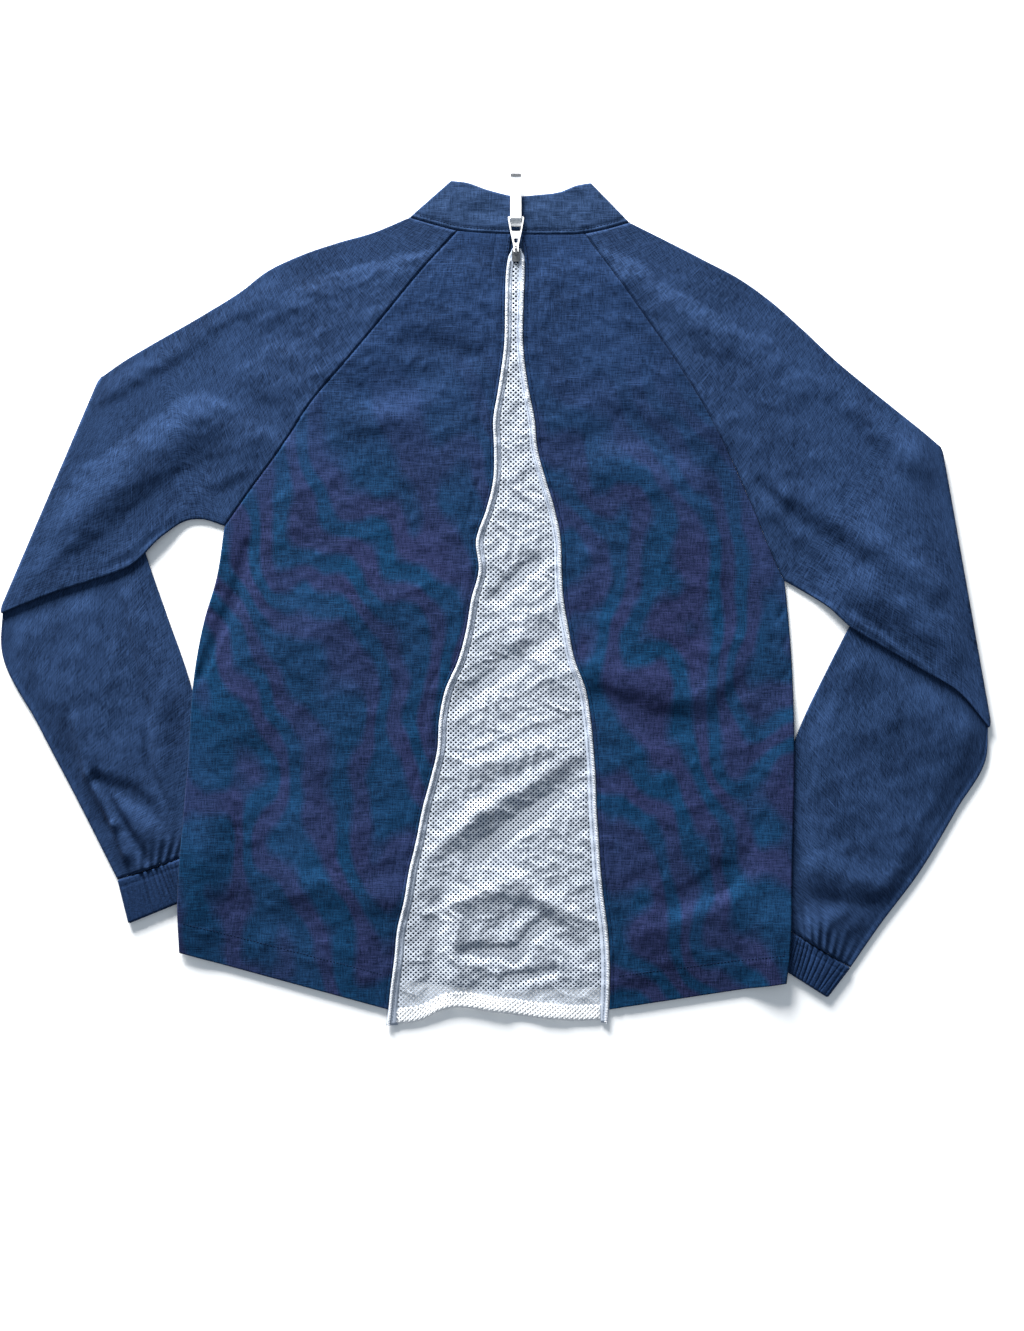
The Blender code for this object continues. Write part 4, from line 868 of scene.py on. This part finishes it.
def collar():
    """The collar's places and its cut's places: front, round the left fold, back, and round again."""
    u = np.linspace(0, 1, 121)
    seam_line = curve(NECK, u)
    seam_line[:, 1] = neck_y(seam_line[:, 0])
    top_line = curve(COLLAR_TOP, u)
    turn = np.radians(np.linspace(0, 90, 7))
    inset, fall = EDGE_R * (1 - np.sin(turn)), EDGE_R * (1 - np.cos(turn))
    shares = np.concatenate([[0, 0.012, 0.03, 0.05, 0.075], np.linspace(0.10, 0.96, COLLAR_ROWS), [0.98, 1.0]])
    rows = []
    for share in shares:
        path = seam_line * (1 - share) + top_line * share
        if share == 0.0:
            path[:, 1] += SEAM / 2
        length = np.concatenate([[0], np.cumsum(np.hypot(*np.diff(path, axis=0).T))])
        total = length[-1]
        centre = float(np.interp(CENTRE_X, path[:, 0], length))
        back = np.linspace(EDGE_R, total - EDGE_R, COLLAR_BACK_COLUMNS)[1:-1]
        t = np.concatenate([np.linspace(centre - SEAM / 2, EDGE_R, 24)[:-1], inset[:-1], inset[::-1], back,
                            total - inset, (total - inset[::-1])[1:],
                            np.linspace(total - EDGE_R, centre + SEAM / 2, 24)[1:]])
        drop = np.concatenate([np.zeros(23), fall[:-1], fall[::-1], np.zeros(len(back)), fall,
                               fall[::-1][1:], np.zeros(23)])
        split = (23 + 6, 23 + 6 + 7 + len(back) + 7)
        is_back = np.zeros(len(t), bool)
        is_back[split[0]:split[1]] = True
        x = np.interp(t, length, path[:, 0])
        y = np.interp(t, length, path[:, 1])
        height = share * 34.0
        from_side = np.minimum(t, total - t)
        rise = COLLAR_PUFF * smooth(height / 12.0) + relief(COLLAR_FOLDS, x, y) + 0.6 * crumple(x, y)
        rise = rise * smooth(from_side / 14.0) - groove(height, SEAM_GROOVE_HALF, SEAM_GROOVE)
        rise = rise - groove(height - COLLAR_STITCH_UP, 0.9, 0.7) - rolled(np.array(34.0 - height), 1.0)
        z = np.where(is_back, 2 * EDGE_R - drop + rise, drop)
        y = np.where(is_back, y, y - front_drop(x))
        rows.append(np.stack([x, y, z, x, y], axis=-1))
    return np.array(rows), is_back, shares


collar_grid, collar_is_back, collar_shares = collar()
neckband = cloth_piece("cloth_collar", collar_grid[:, ::-1, 0], collar_grid[:, ::-1, 1], collar_grid[:, ::-1, 2],
                       (collar_grid[:, ::-1, 3], collar_grid[:, ::-1, 4]), collar_chambray, COLLAR_WALL)
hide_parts("collar")

# Topstitching: blue thread in short stitches, along both edges beside the zip,
# above the neck seam and along the turned-up hem.
BLUE_STITCH = 2.3
BLUE_PITCH = 3.1
BLUE_THREAD = 0.34


def plain_finish(name, colour, roughness, metallic=0.0, grain=300.0, spread=0.12, bump=0.00005,
                 gloss=0.5):
    """A finish of one colour with a fine grain: its tone, gloss and surface all vary a little."""
    material, start, shader = new_finish(name)
    place = start.node("ShaderNodeTexCoord", {}, {}, output="Object")
    speck = start.noise(place, (grain, grain, grain), 3.0)
    dim = tuple(c * (1 - spread) for c in colour)
    bright = tuple(min(1.0, c * (1 + spread)) for c in colour)
    wire(shader, {"Base Color": start.mix(speck, dim, bright), "Metallic": metallic,
                  "Specular IOR Level": gloss, "Roughness": roughness + (speck - 0.5) * 0.2,
                  "Normal": raised(start, speck, bump)})
    return material


def stitches(name, lines, finish, pitch, length, thickness, body="jacket"):
    """Rows of separate stitches, each a short thread with dipped ends, along lines of places."""
    rows = []
    for line in lines:
        steps = np.linalg.norm(np.diff(line, axis=0), axis=1)
        run = np.concatenate([[0], np.cumsum(steps)])
        middles = np.arange(pitch, run[-1] - pitch, pitch)
        rings = []
        for offset, size, sink in ((-0.5, 0.3, 1.0), (-0.32, 1.0, 0.0), (0.32, 1.0, 0.0), (0.5, 0.3, 1.0)):
            at = middles + offset * length
            centre = np.stack([np.interp(at, run, line[:, k]) for k in range(3)], axis=-1)
            centre[:, 2] -= sink * thickness
            ahead = np.stack([np.interp(at + 0.5, run, line[:, k]) for k in range(2)], axis=-1)
            way = ahead - np.stack([np.interp(at - 0.5, run, line[:, k]) for k in range(2)], axis=-1)
            way = way / np.linalg.norm(way, axis=1)[:, None]
            side_way = np.stack([-way[:, 1], way[:, 0], np.zeros(len(at))], axis=-1)
            up = np.array([0.0, 0.0, 1.0])
            for across, over in ((1, 0), (0, 1), (-1, 0), (0, -1)):
                rings.append(centre + thickness * size * (side_way * across + up * over))
        rows.append(np.stack(rings, axis=1))
    places = np.concatenate(rows)
    count = len(places)
    faces = []
    for ring in range(3):
        for k in range(4):
            n = (k + 1) % 4
            faces.append((ring * 4 + k, ring * 4 + n, ring * 4 + 4 + n, ring * 4 + 4 + k))
    faces += [(3, 2, 1, 0), (12, 13, 14, 15)]
    quads = (np.arange(count)[:, None, None] * 16 + np.array(faces)[None]).reshape(-1, 4)
    mesh = bpy.data.meshes.new(name)
    mesh.from_pydata((places.reshape(-1, 3) * MM).tolist(), [], quads.tolist())
    mesh.materials.append(finish)
    obj = bpy.data.objects.new(name, mesh)
    bpy.context.scene.collection.objects.link(obj)
    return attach(obj, body)


blue_thread = plain_finish("blue_thread", (0.003, 0.008, 0.026), 0.85, grain=900.0, gloss=0.05)
for side in SIDES:
    x, y, z = back_grids[side]
    beside_zip = x.shape[1] - 1 - NEAR_ZIP[::-1].index(ZIP_STITCH_IN)
    hem_row = int(np.argmin(np.abs(y[:, -1] - (HEM_ZIP_Y + HEM_BAND))))
    zip_line = np.stack([x[:, beside_zip], y[:, beside_zip], z[:, beside_zip] + 0.12], axis=-1)[1:-1]
    hem_line = np.stack([x[hem_row, 5:-5], y[hem_row, 5:-5], z[hem_row, 5:-5] + 0.12], axis=-1)
    back_rows = stitches("back_stitches_" + side, [zip_line, hem_line], blue_thread,
                         BLUE_PITCH, BLUE_STITCH, BLUE_THREAD)
stitch_row = int(np.argmin(np.abs(collar_shares * 34.0 - COLLAR_STITCH_UP)))
line = collar_grid[stitch_row, collar_is_back][8:-8, :3] + np.array([0, 0, 0.1])
collar_row = stitches("collar_stitches", [line], blue_thread, BLUE_PITCH, BLUE_STITCH, BLUE_THREAD)

# Zip: a white coil zip, its slider at the top. Each half is a woven tape with
# its coil sewn along the edge beside the cloth, and a double row of weaving.
TAPE_TOP_WIDTH = 5.5
TAPE_HEM_WIDTH = 8.0
TAPE_WALL = 0.6
TAPE_ROW = 2.4
TAPE_TOP_Y = 316.5
TAPE_CORNER = 2.4
TAPE_END = {"left": (-98.5, -383.4, -88.0, -382.8), "right": (101.0, -381.0, 95.0, -380.4)}
COIL_PITCH = 1.5
COIL_WIDTH = 2.3
COIL_HEIGHT = 1.3
COIL_WIRE = 0.36
COIL_STEPS = 8
WHITE_PITCH = 2.9
TAPE_PROFILE = ((0.0, -0.35), (0.35, 0.0), (1.3, 0.10), (2.6, 0.0), (3.0, -0.22), (3.4, 0.02), (3.75, 0.05),
                (4.1, -0.18), (4.5, 0.02), (5.2, 0.0))


def tape_width(y):
    """The zip tape narrows towards its top, where the halves close up."""
    return np.interp(y, [HEM_ZIP_Y, NECK_ZIP_Y], [TAPE_HEM_WIDTH, TAPE_TOP_WIDTH])


def tape_edges(side, y):
    """A tape's edge beside the cloth and its edge beside the mesh."""
    sign = 1 if side == "left" else -1
    outer_x = zip_x(side, y) + sign * SEAM / 2
    inner_x = outer_x + sign * tape_width(y)
    limit = CENTRE_X - sign * SEAM
    inner_x = np.minimum(inner_x, limit) if side == "left" else np.maximum(inner_x, limit)
    return outer_x, inner_x


def tape_grid(side):
    """A zip tape's places, row by row from its rounded top beside the slider to its tip."""
    y = np.append(np.arange(TAPE_TOP_Y, HEM_ZIP_Y, -TAPE_ROW), HEM_ZIP_Y)
    outer_x, inner_x = tape_edges(side, y)
    corner = TAPE_CORNER * (1 - smooth((TAPE_TOP_Y - y) / 8.0))
    outer_x = outer_x + (corner if side == "left" else -corner)
    tip = TAPE_END[side]
    ease = np.linspace(0, 1, 6)[1:, None]
    last = np.array([[outer_x[-1], y[-1], inner_x[-1], y[-1]]])
    ends = last * (1 - ease) + np.array([tip]) * ease
    outer = np.concatenate([np.stack([outer_x, y], axis=-1), ends[:, :2]])
    inner = np.concatenate([np.stack([inner_x, y], axis=-1), ends[:, 2:]])
    width = np.linalg.norm(inner - outer, axis=1)[:, None]
    inwards = np.array([row[0] for row in TAPE_PROFILE] + [5.6])
    share = np.concatenate([inwards[None, :] / 5.6 * np.minimum(1.0, 5.2 / width) * np.ones_like(width),
                            np.ones_like(width)], axis=1)
    share = np.minimum(share, np.linspace(0.90, 1.0, share.shape[1])[None, :])
    x = outer[:, :1] * (1 - share) + inner[:, :1] * share
    y_place = outer[:, 1:] * (1 - share) + inner[:, 1:] * share
    weave = np.array([row[1] for row in TAPE_PROFILE] + [0.0, -0.2])
    z = top_height(x, y_place, body_lift(x, y_place)) + weave[None, :] - 0.25
    return x, y_place, z, share * width


def coil(name, line, inward, finish):
    """A zip's coil: a flattened helix along a line, its loops wide across the tape."""
    run = np.concatenate([[0], np.cumsum(np.linalg.norm(np.diff(line, axis=0), axis=1))])
    turns = int(run[-1] / COIL_PITCH)
    at = np.linspace(0, run[-1], turns * COIL_STEPS + 1)
    centre = np.stack([np.interp(at, run, line[:, k]) for k in range(3)], axis=-1)
    across = np.stack([np.interp(at, run, inward[:, k]) for k in range(2)], axis=-1)
    across = across / np.linalg.norm(across, axis=1)[:, None]
    turn = 2 * math.pi * np.arange(len(at)) / COIL_STEPS
    path = centre.copy()
    path[:, :2] += across * (COIL_WIDTH / 2 * np.sin(turn))[:, None]
    path[:, 2] += COIL_HEIGHT / 2 * (1 + np.cos(turn))
    data = bpy.data.curves.new(name, "CURVE")
    data.dimensions = "3D"
    data.bevel_depth = COIL_WIRE * MM
    data.bevel_resolution = 0
    data.use_fill_caps = True
    spline = data.splines.new("POLY")
    spline.points.add(len(path) - 1)
    spline.points.foreach_set("co", np.concatenate([path * MM, np.ones((len(path), 1))], axis=1).ravel())
    data.materials.append(finish)
    obj = bpy.data.objects.new(name, data)
    bpy.context.scene.collection.objects.link(obj)
    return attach(obj, "jacket")


def white_tape(name):
    """Woven polyester tape: fine ribs along it and a soft sheen."""
    material, start, shader = new_finish(name)
    place = start.node("ShaderNodeAttribute", {"attribute_name": "cut"}, {}, output="Vector")
    ribs = start.noise(place, (1500.0, 260.0, 1.0), 1.0)
    shade = start.noise(place, (40.0, 25.0, 1.0), 3.0)
    wire(shader, {"Base Color": start.mix(ribs * 0.6 + shade * 0.4, (0.25, 0.30, 0.39), (0.41, 0.45, 0.52)),
                  "Roughness": 0.6 + shade * 0.1, "Normal": raised(start, ribs, 0.0001),
                  "Specular IOR Level": 0.2})
    return material


tape_white = white_tape("tape_white")
coil_white = plain_finish("coil_white", (0.56, 0.59, 0.64), 0.4, grain=120.0, spread=0.06)
dark_thread = plain_finish("dark_thread", (0.03, 0.05, 0.10), 0.8, grain=900.0, gloss=0.1)
tape_grids = {}
for side in SIDES:
    x, y, z, across = tape_grid(side)
    tape_grids[side] = (x, y, z)
    down = np.concatenate([[0], np.cumsum(np.hypot(np.diff(x[:, 0]), np.diff(y[:, 0])))])[:, None]
    tape = cloth_piece("zip_band_" + side, x, y, z, (across, down * np.ones_like(x)), tape_white, TAPE_WALL)
    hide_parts("zip_tape_" + side)
    middle = np.stack([x[:, 2] * 0.9 + x[:, -1] * 0.1, y[:, 2], z[:, 2] + 0.05], axis=-1)
    inward = np.stack([x[:, 6] - x[:, 1], y[:, 6] - y[:, 1]], axis=-1)
    below_slider = middle[:, 1] < 307.0
    teeth = coil("zip_coil_" + side, middle[below_slider], inward[below_slider], coil_white)
    line = np.stack([x[:, -3], y[:, -3], z[:, -3] + 0.15], axis=-1)[12:]
    inner_row = stitches("tape_stitches_" + side, [line], dark_thread, WHITE_PITCH, 1.9, 0.20)

# Mesh: a wedge of white knitted sports mesh between the tapes, full of small
# round holes in staggered rows, over the dark front. It lies in slanting folds,
# and its hem is turned up in a band, where two layers half close the holes.
HOLE_PITCH = 4.5
HOLE_ROW = 2.07
HOLE_R = 0.98
HOLE_DIP = 0.22
MESH_TOP_Y = 303.0
MESH_TUCK = 2.4
TUCK_DEPTH = 0.9
HEM_BAND_MESH = 13.0
BAND_HOLE_R = 0.50
MESH_FOLDS = [Fold(*row) for row in (
    (2, 4, 36, 31, 7, -2.0), (-33, -89, 60, -26, 11, -1.6), (-24, -152, 48, -131, 11, 1.4),
    (-63, -232, -14, -191, 9, 1.8), (-14, -191, 78, -137, 9, 1.4), (-18, -231, 78, -157, 11, -1.8),
    (-27, -316, 18, -320, 7, -1.6), (18, -320, 45, -289, 7, -1.8), (26, -263, 72, -284, 8, 1.5),
    (9, -342, 54, -334, 5, -1.6), (-54, -274, -56, -358, 9, -1.6), (-36, -274, -36, -346, 11, 1.4),
    (22, -36, 58, -72, 11, 1.2), (-23, -270, 22, -252, 9, 1.2), (58, -297, 85, -324, 9, -1.4),
    (4, -292, 31, -274, 9, -1.2), (-50, -371, 4, -373, 11, 2.0), (45, -377, 58, -378, 9, 1.2))]


def mesh_hem_y(x):
    """The mesh's lower edge."""
    return hermite([p[0] for p in MESH_HEM], [p[1] for p in MESH_HEM], np.ravel(x))[:, 0].reshape(np.shape(x))


def mesh_height(x, y):
    """The mesh's upper face, dipping under the tapes at its two sides."""
    left, right = tape_edges("left", y)[1], tape_edges("right", y)[1]
    share = np.clip((x - left) / np.maximum(right - left, 1.0), 0, 1)
    depth = depth_inside(GARMENT, x, y)
    folds = FOLD_STRENGTH * relief(MESH_FOLDS, x, y) + 0.4 * crumple(x, y)
    z = top_height(x, y, 0.0) + folds * np.sin(math.pi * share)**0.5 * smooth((depth + 12) / FOLD_RAMP)
    inwards = np.minimum(x - left, right - x)
    return np.maximum(z, 2 * EDGE_R - 0.2) - TUCK_DEPTH * (1 - smooth((inwards + 1.0) / 3.0))


def holed(name, centres, half_across, half_down, radius, to_place, finish, edge_down=None):
    """Cloth with a round hole in the middle of each diamond cell. Centres count half cells; a cell
    on edge_down is cut in half there and has no hole, so that the cloth ends straight."""
    a, b = centres[:, 0], centres[:, 1]
    corners = np.stack([a + 1, b, a, b + 1, a - 1, b, a, b - 1], axis=-1).reshape(-1, 4, 2)
    flat = corners.reshape(-1, 2)
    unique, where = np.unique(flat, axis=0, return_inverse=True)
    where = where.reshape(-1, 4)
    corner_places = to_place(unique[:, 0] * half_across, unique[:, 1] * half_down, np.zeros(len(unique)))
    is_edge = b == edge_down if edge_down is not None else np.zeros(len(b), bool)
    turn = np.radians(np.arange(8) * 45.0)
    whole = ~is_edge
    hole_x = (a[whole] * half_across)[:, None] + radius * np.cos(turn)
    hole_y = (b[whole] * half_down)[:, None] + radius * np.sin(turn)
    hole_places = to_place(hole_x.ravel(), hole_y.ravel(), np.full(hole_x.size, HOLE_DIP))
    first = len(unique) + np.arange(whole.sum())[:, None] * 8
    faces = []
    for k in range(4):
        near, far = where[whole][:, k:k + 1], where[whole][:, (k + 1) % 4:(k + 1) % 4 + 1]
        h0, h1, h2 = first + 2 * k, first + 2 * k + 1, first + (2 * k + 2) % 8
        faces += np.concatenate([h0, near, far, h1], axis=1).tolist()
        faces += np.concatenate([h1, far, h2], axis=1).tolist()
    faces += where[is_edge][:, [0, 1, 2]].tolist()
    places = np.concatenate([corner_places, hole_places])
    mesh = bpy.data.meshes.new(name)
    mesh.from_pydata((places * MM).tolist(), [], faces)
    grain = mesh.attributes.new("cut", "FLOAT_VECTOR", "POINT")
    grain.data.foreach_set("vector", (places * np.array([1, 1, 0]) * MM).ravel())
    mesh.shade_smooth()
    mesh.materials.append(finish)
    obj = bpy.data.objects.new(name, mesh)
    bpy.context.scene.collection.objects.link(obj)
    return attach(obj, "jacket")


def lattice(low, high):
    """Whole cells of a staggered lattice between two corners, counted in half cells."""
    a, b = np.meshgrid(np.arange(low[0], high[0] + 1), np.arange(low[1], high[1] + 1))
    keep = (a + b) % 2 == 0
    return np.stack([a[keep], b[keep]], axis=-1)


def sports_mesh(name, dim, bright):
    """Knitted polyester, off-white, with a fine knit between the holes."""
    material, start, shader = new_finish(name)
    place = start.node("ShaderNodeAttribute", {"attribute_name": "cut"}, {}, output="Vector")
    knit = start.noise(place, (1400.0, 900.0, 1.0), 1.0)
    cloud = start.noise(place, (30.0, 30.0, 1.0), 2.0)
    wire(shader, {"Base Color": start.mix(knit * 0.5 + cloud * 0.5, dim, bright),
                  "Roughness": 0.58 + knit * 0.1, "Normal": raised(start, knit, 0.0001),
                  "Specular IOR Level": 0.3})
    return material


mesh_white = sports_mesh("mesh_white", (0.33, 0.375, 0.445), (0.46, 0.50, 0.565))
band_white = sports_mesh("band_white", (0.58, 0.60, 0.63), (0.72, 0.73, 0.75))
cells = lattice((-60, -190), (60, 155))
cell_x = CENTRE_X + cells[:, 0] * HOLE_PITCH / 2
cell_y = cells[:, 1] * HOLE_ROW
inside = (cell_x > tape_edges("left", cell_y)[1] - MESH_TUCK) & (cell_x < tape_edges("right", cell_y)[1] + MESH_TUCK)
inside &= (cell_y < MESH_TOP_Y) & (cell_y > mesh_hem_y(cell_x) + HEM_BAND_MESH - 2.5)


def on_wedge(across, along, dip):
    """Places on the wedge, from places on its flat lattice."""
    x = CENTRE_X + across
    return np.stack([x, along, mesh_height(x, along) - dip], axis=-1)


def on_band(across, along, dip):
    """Places on the mesh's turned-up hem, which follows its lower edge."""
    x = CENTRE_X + across
    y = mesh_hem_y(x) + along
    z = mesh_height(x, y) + 0.45 - dip * 0.6 - 0.8 * rolled(along, 1.2)
    return np.stack([x, y, z], axis=-1)


wedge = holed("mesh_wedge", cells[inside], HOLE_PITCH / 2, HOLE_ROW, HOLE_R, on_wedge, mesh_white)
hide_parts("mesh_godet")
band_cells = lattice((-47, 0), (34, round(HEM_BAND_MESH / HOLE_ROW)))
mesh_band = holed("mesh_hem_band", band_cells, HOLE_PITCH / 2, HOLE_ROW, BAND_HOLE_R, on_band, band_white,
                  edge_down=0)
doubled = mesh_band.modifiers.new("two_layers", "SOLIDIFY")
doubled.thickness = 0.5 * MM
doubled.offset = -1.0
band_x = np.linspace(TAPE_END["left"][2] + 4, TAPE_END["right"][2] - 3, 90)
band_line = on_band(band_x - CENTRE_X, np.full(90, HEM_BAND_MESH - 0.4), np.zeros(90)) + np.array([0, 0, 0.15])
grey_thread = plain_finish("grey_thread", (0.35, 0.40, 0.50), 0.7, grain=900.0)
band_row = stitches("mesh_hem_stitches", [band_line], grey_thread, WHITE_PITCH, 1.9, 0.16)

# Slider: a small shield of dark grey zinc alloy with a bridge over the pull's
# eye, and two cheeks that hold the coils.
CHEEK_WIDTH = 1.1
CHEEK_DROP = 1.5


def softened(node, finish, width):
    """A CAD node's own shape, with its edges eased and its finish put on."""
    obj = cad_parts[node]
    weld = obj.modifiers.new("weld", "WELD")
    weld.merge_threshold = 0.00001
    ease = obj.modifiers.new("eased_edges", "BEVEL")
    ease.width = width * MM
    ease.segments = 2
    ease.limit_method = "ANGLE"
    ease.angle_limit = math.radians(40)
    for slot_index in range(len(obj.material_slots)):
        obj.material_slots[slot_index].material = finish
    return obj


slider_grey = plain_finish("slider_grey", (0.20, 0.205, 0.215), 0.34, metallic=1.0, grain=500.0, spread=0.25)
softened("zip_slider", slider_grey, 0.2)
slider_low, slider_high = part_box("zip_slider")
for sign, side in ((-1, "left"), (1, "right")):
    middle_x = (slider_low.x + slider_high.x) / 2
    outer = middle_x + sign * (slider_high.x - slider_low.x) / 2
    bm = bmesh.new()
    bmesh.ops.create_cube(bm, size=1.0)
    bmesh.ops.scale(bm, vec=(CHEEK_WIDTH * MM, (slider_high.y - slider_low.y) * 0.72, CHEEK_DROP * MM), verts=bm.verts)
    bmesh.ops.translate(bm, vec=(outer - sign * CHEEK_WIDTH * MM / 2, (slider_low.y + slider_high.y) / 2,
                                 slider_low.z - CHEEK_DROP * MM / 2 + 0.0004), verts=bm.verts)
    bmesh.ops.bevel(bm, geom=bm.edges, offset=0.0003, segments=3, affect="EDGES", profile=0.6)
    cheek_mesh = bpy.data.meshes.new("slider_cheek_" + side)
    bm.to_mesh(cheek_mesh)
    bm.free()
    cheek_mesh.shade_smooth()
    cheek_mesh.materials.append(slider_grey)
    cheek = bpy.data.objects.new("slider_cheek_" + side, cheek_mesh)
    bpy.context.scene.collection.objects.link(cheek)
    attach(cheek, "jacket")

# Pull: a white-lacquered metal tab on the slider's bridge, with a slot and a wide
# window, and a loop of white ribbon round its top bar, sewn across at its end.
RIBBON_WALL = 0.5
RIBBON_STEP = 0.9
RIBBON_SELVEDGE = 0.12
BAR_TACK_IN = 2.4
# The ribbon's outer face, in Y and Z, from the end of its upper layer, round the bar and back below
RIBBON_PATH = ((383.4, 6.7), (356.7, 6.7), (345.7, 7.2), (342.9, 7.3), (341.6, 6.6), (340.0, 5.3),
               (338.2, 4.9), (336.3, 4.8), (335.8, 4.4), (336.3, 3.9), (342.7, 3.8), (345.7, 4.0),
               (356.7, 4.5), (383.4, 4.5))
pull_white = plain_finish("pull_white", (0.72, 0.72, 0.73), 0.34, grain=500.0, spread=0.06)
tack_thread = plain_finish("tack_thread", (0.20, 0.205, 0.22), 0.8, grain=900.0, gloss=0.1)
softened("pull_tab", pull_white, 0.22)


def woven_ribbon(name):
    """Narrow woven ribbon: fine ribs across it, white, with a soft sheen."""
    material, start, shader = new_finish(name)
    place = start.node("ShaderNodeAttribute", {"attribute_name": "cut"}, {}, output="Vector")
    ribs = start.noise(place, (120.0, 1700.0, 1.0), 1.0)
    wire(shader, {"Base Color": start.mix(ribs, (0.52, 0.53, 0.56), (0.68, 0.69, 0.71)),
                  "Roughness": 0.5 + ribs * 0.15, "Normal": raised(start, ribs, 0.0001)})
    return material


ribbon_low, ribbon_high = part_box("pull_ribbon")
path = np.array(RIBBON_PATH)
run = np.concatenate([[0], np.cumsum(np.hypot(*np.diff(path, axis=0).T))])
down = np.arange(0, run[-1], RIBBON_STEP)
loop = np.stack([np.interp(down, run, path[:, k]) for k in range(2)], axis=-1)
slope = np.gradient(loop, axis=0)
facing = np.stack([slope[:, 1], -slope[:, 0]], axis=-1) / np.hypot(*slope.T)[:, None]
width = np.linspace(ribbon_low.x / MM, ribbon_high.x / MM, 25)
from_edge = np.minimum(width - width[0], width[-1] - width)
selvedge = RIBBON_SELVEDGE * (groove(from_edge - 0.8, 0.4, 1.0) - 1.0)
ribbon_x = np.tile(width, (len(down), 1))
ribbon_y = loop[:, :1] + facing[:, :1] * selvedge
ribbon_z = loop[:, 1:] + facing[:, 1:] * selvedge
ribbon = cloth_piece("woven_pull_ribbon", ribbon_x, ribbon_y, ribbon_z,
                     (ribbon_x, np.tile(down[:, None], (1, 25))), woven_ribbon("ribbon_white"),
                     RIBBON_WALL, body="pull")
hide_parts("pull_ribbon")
tack_lines = [np.stack([np.linspace(width[0] - 0.2, width[-1] + 0.2, 14),
                        np.full(14, ribbon_high.y / MM - BAR_TACK_IN + row * 0.42),
                        np.full(14, 6.85)], axis=-1) for row in range(6)]
tack = stitches("bar_tack", tack_lines, tack_thread, 0.7, 0.95, 0.26, body="pull")
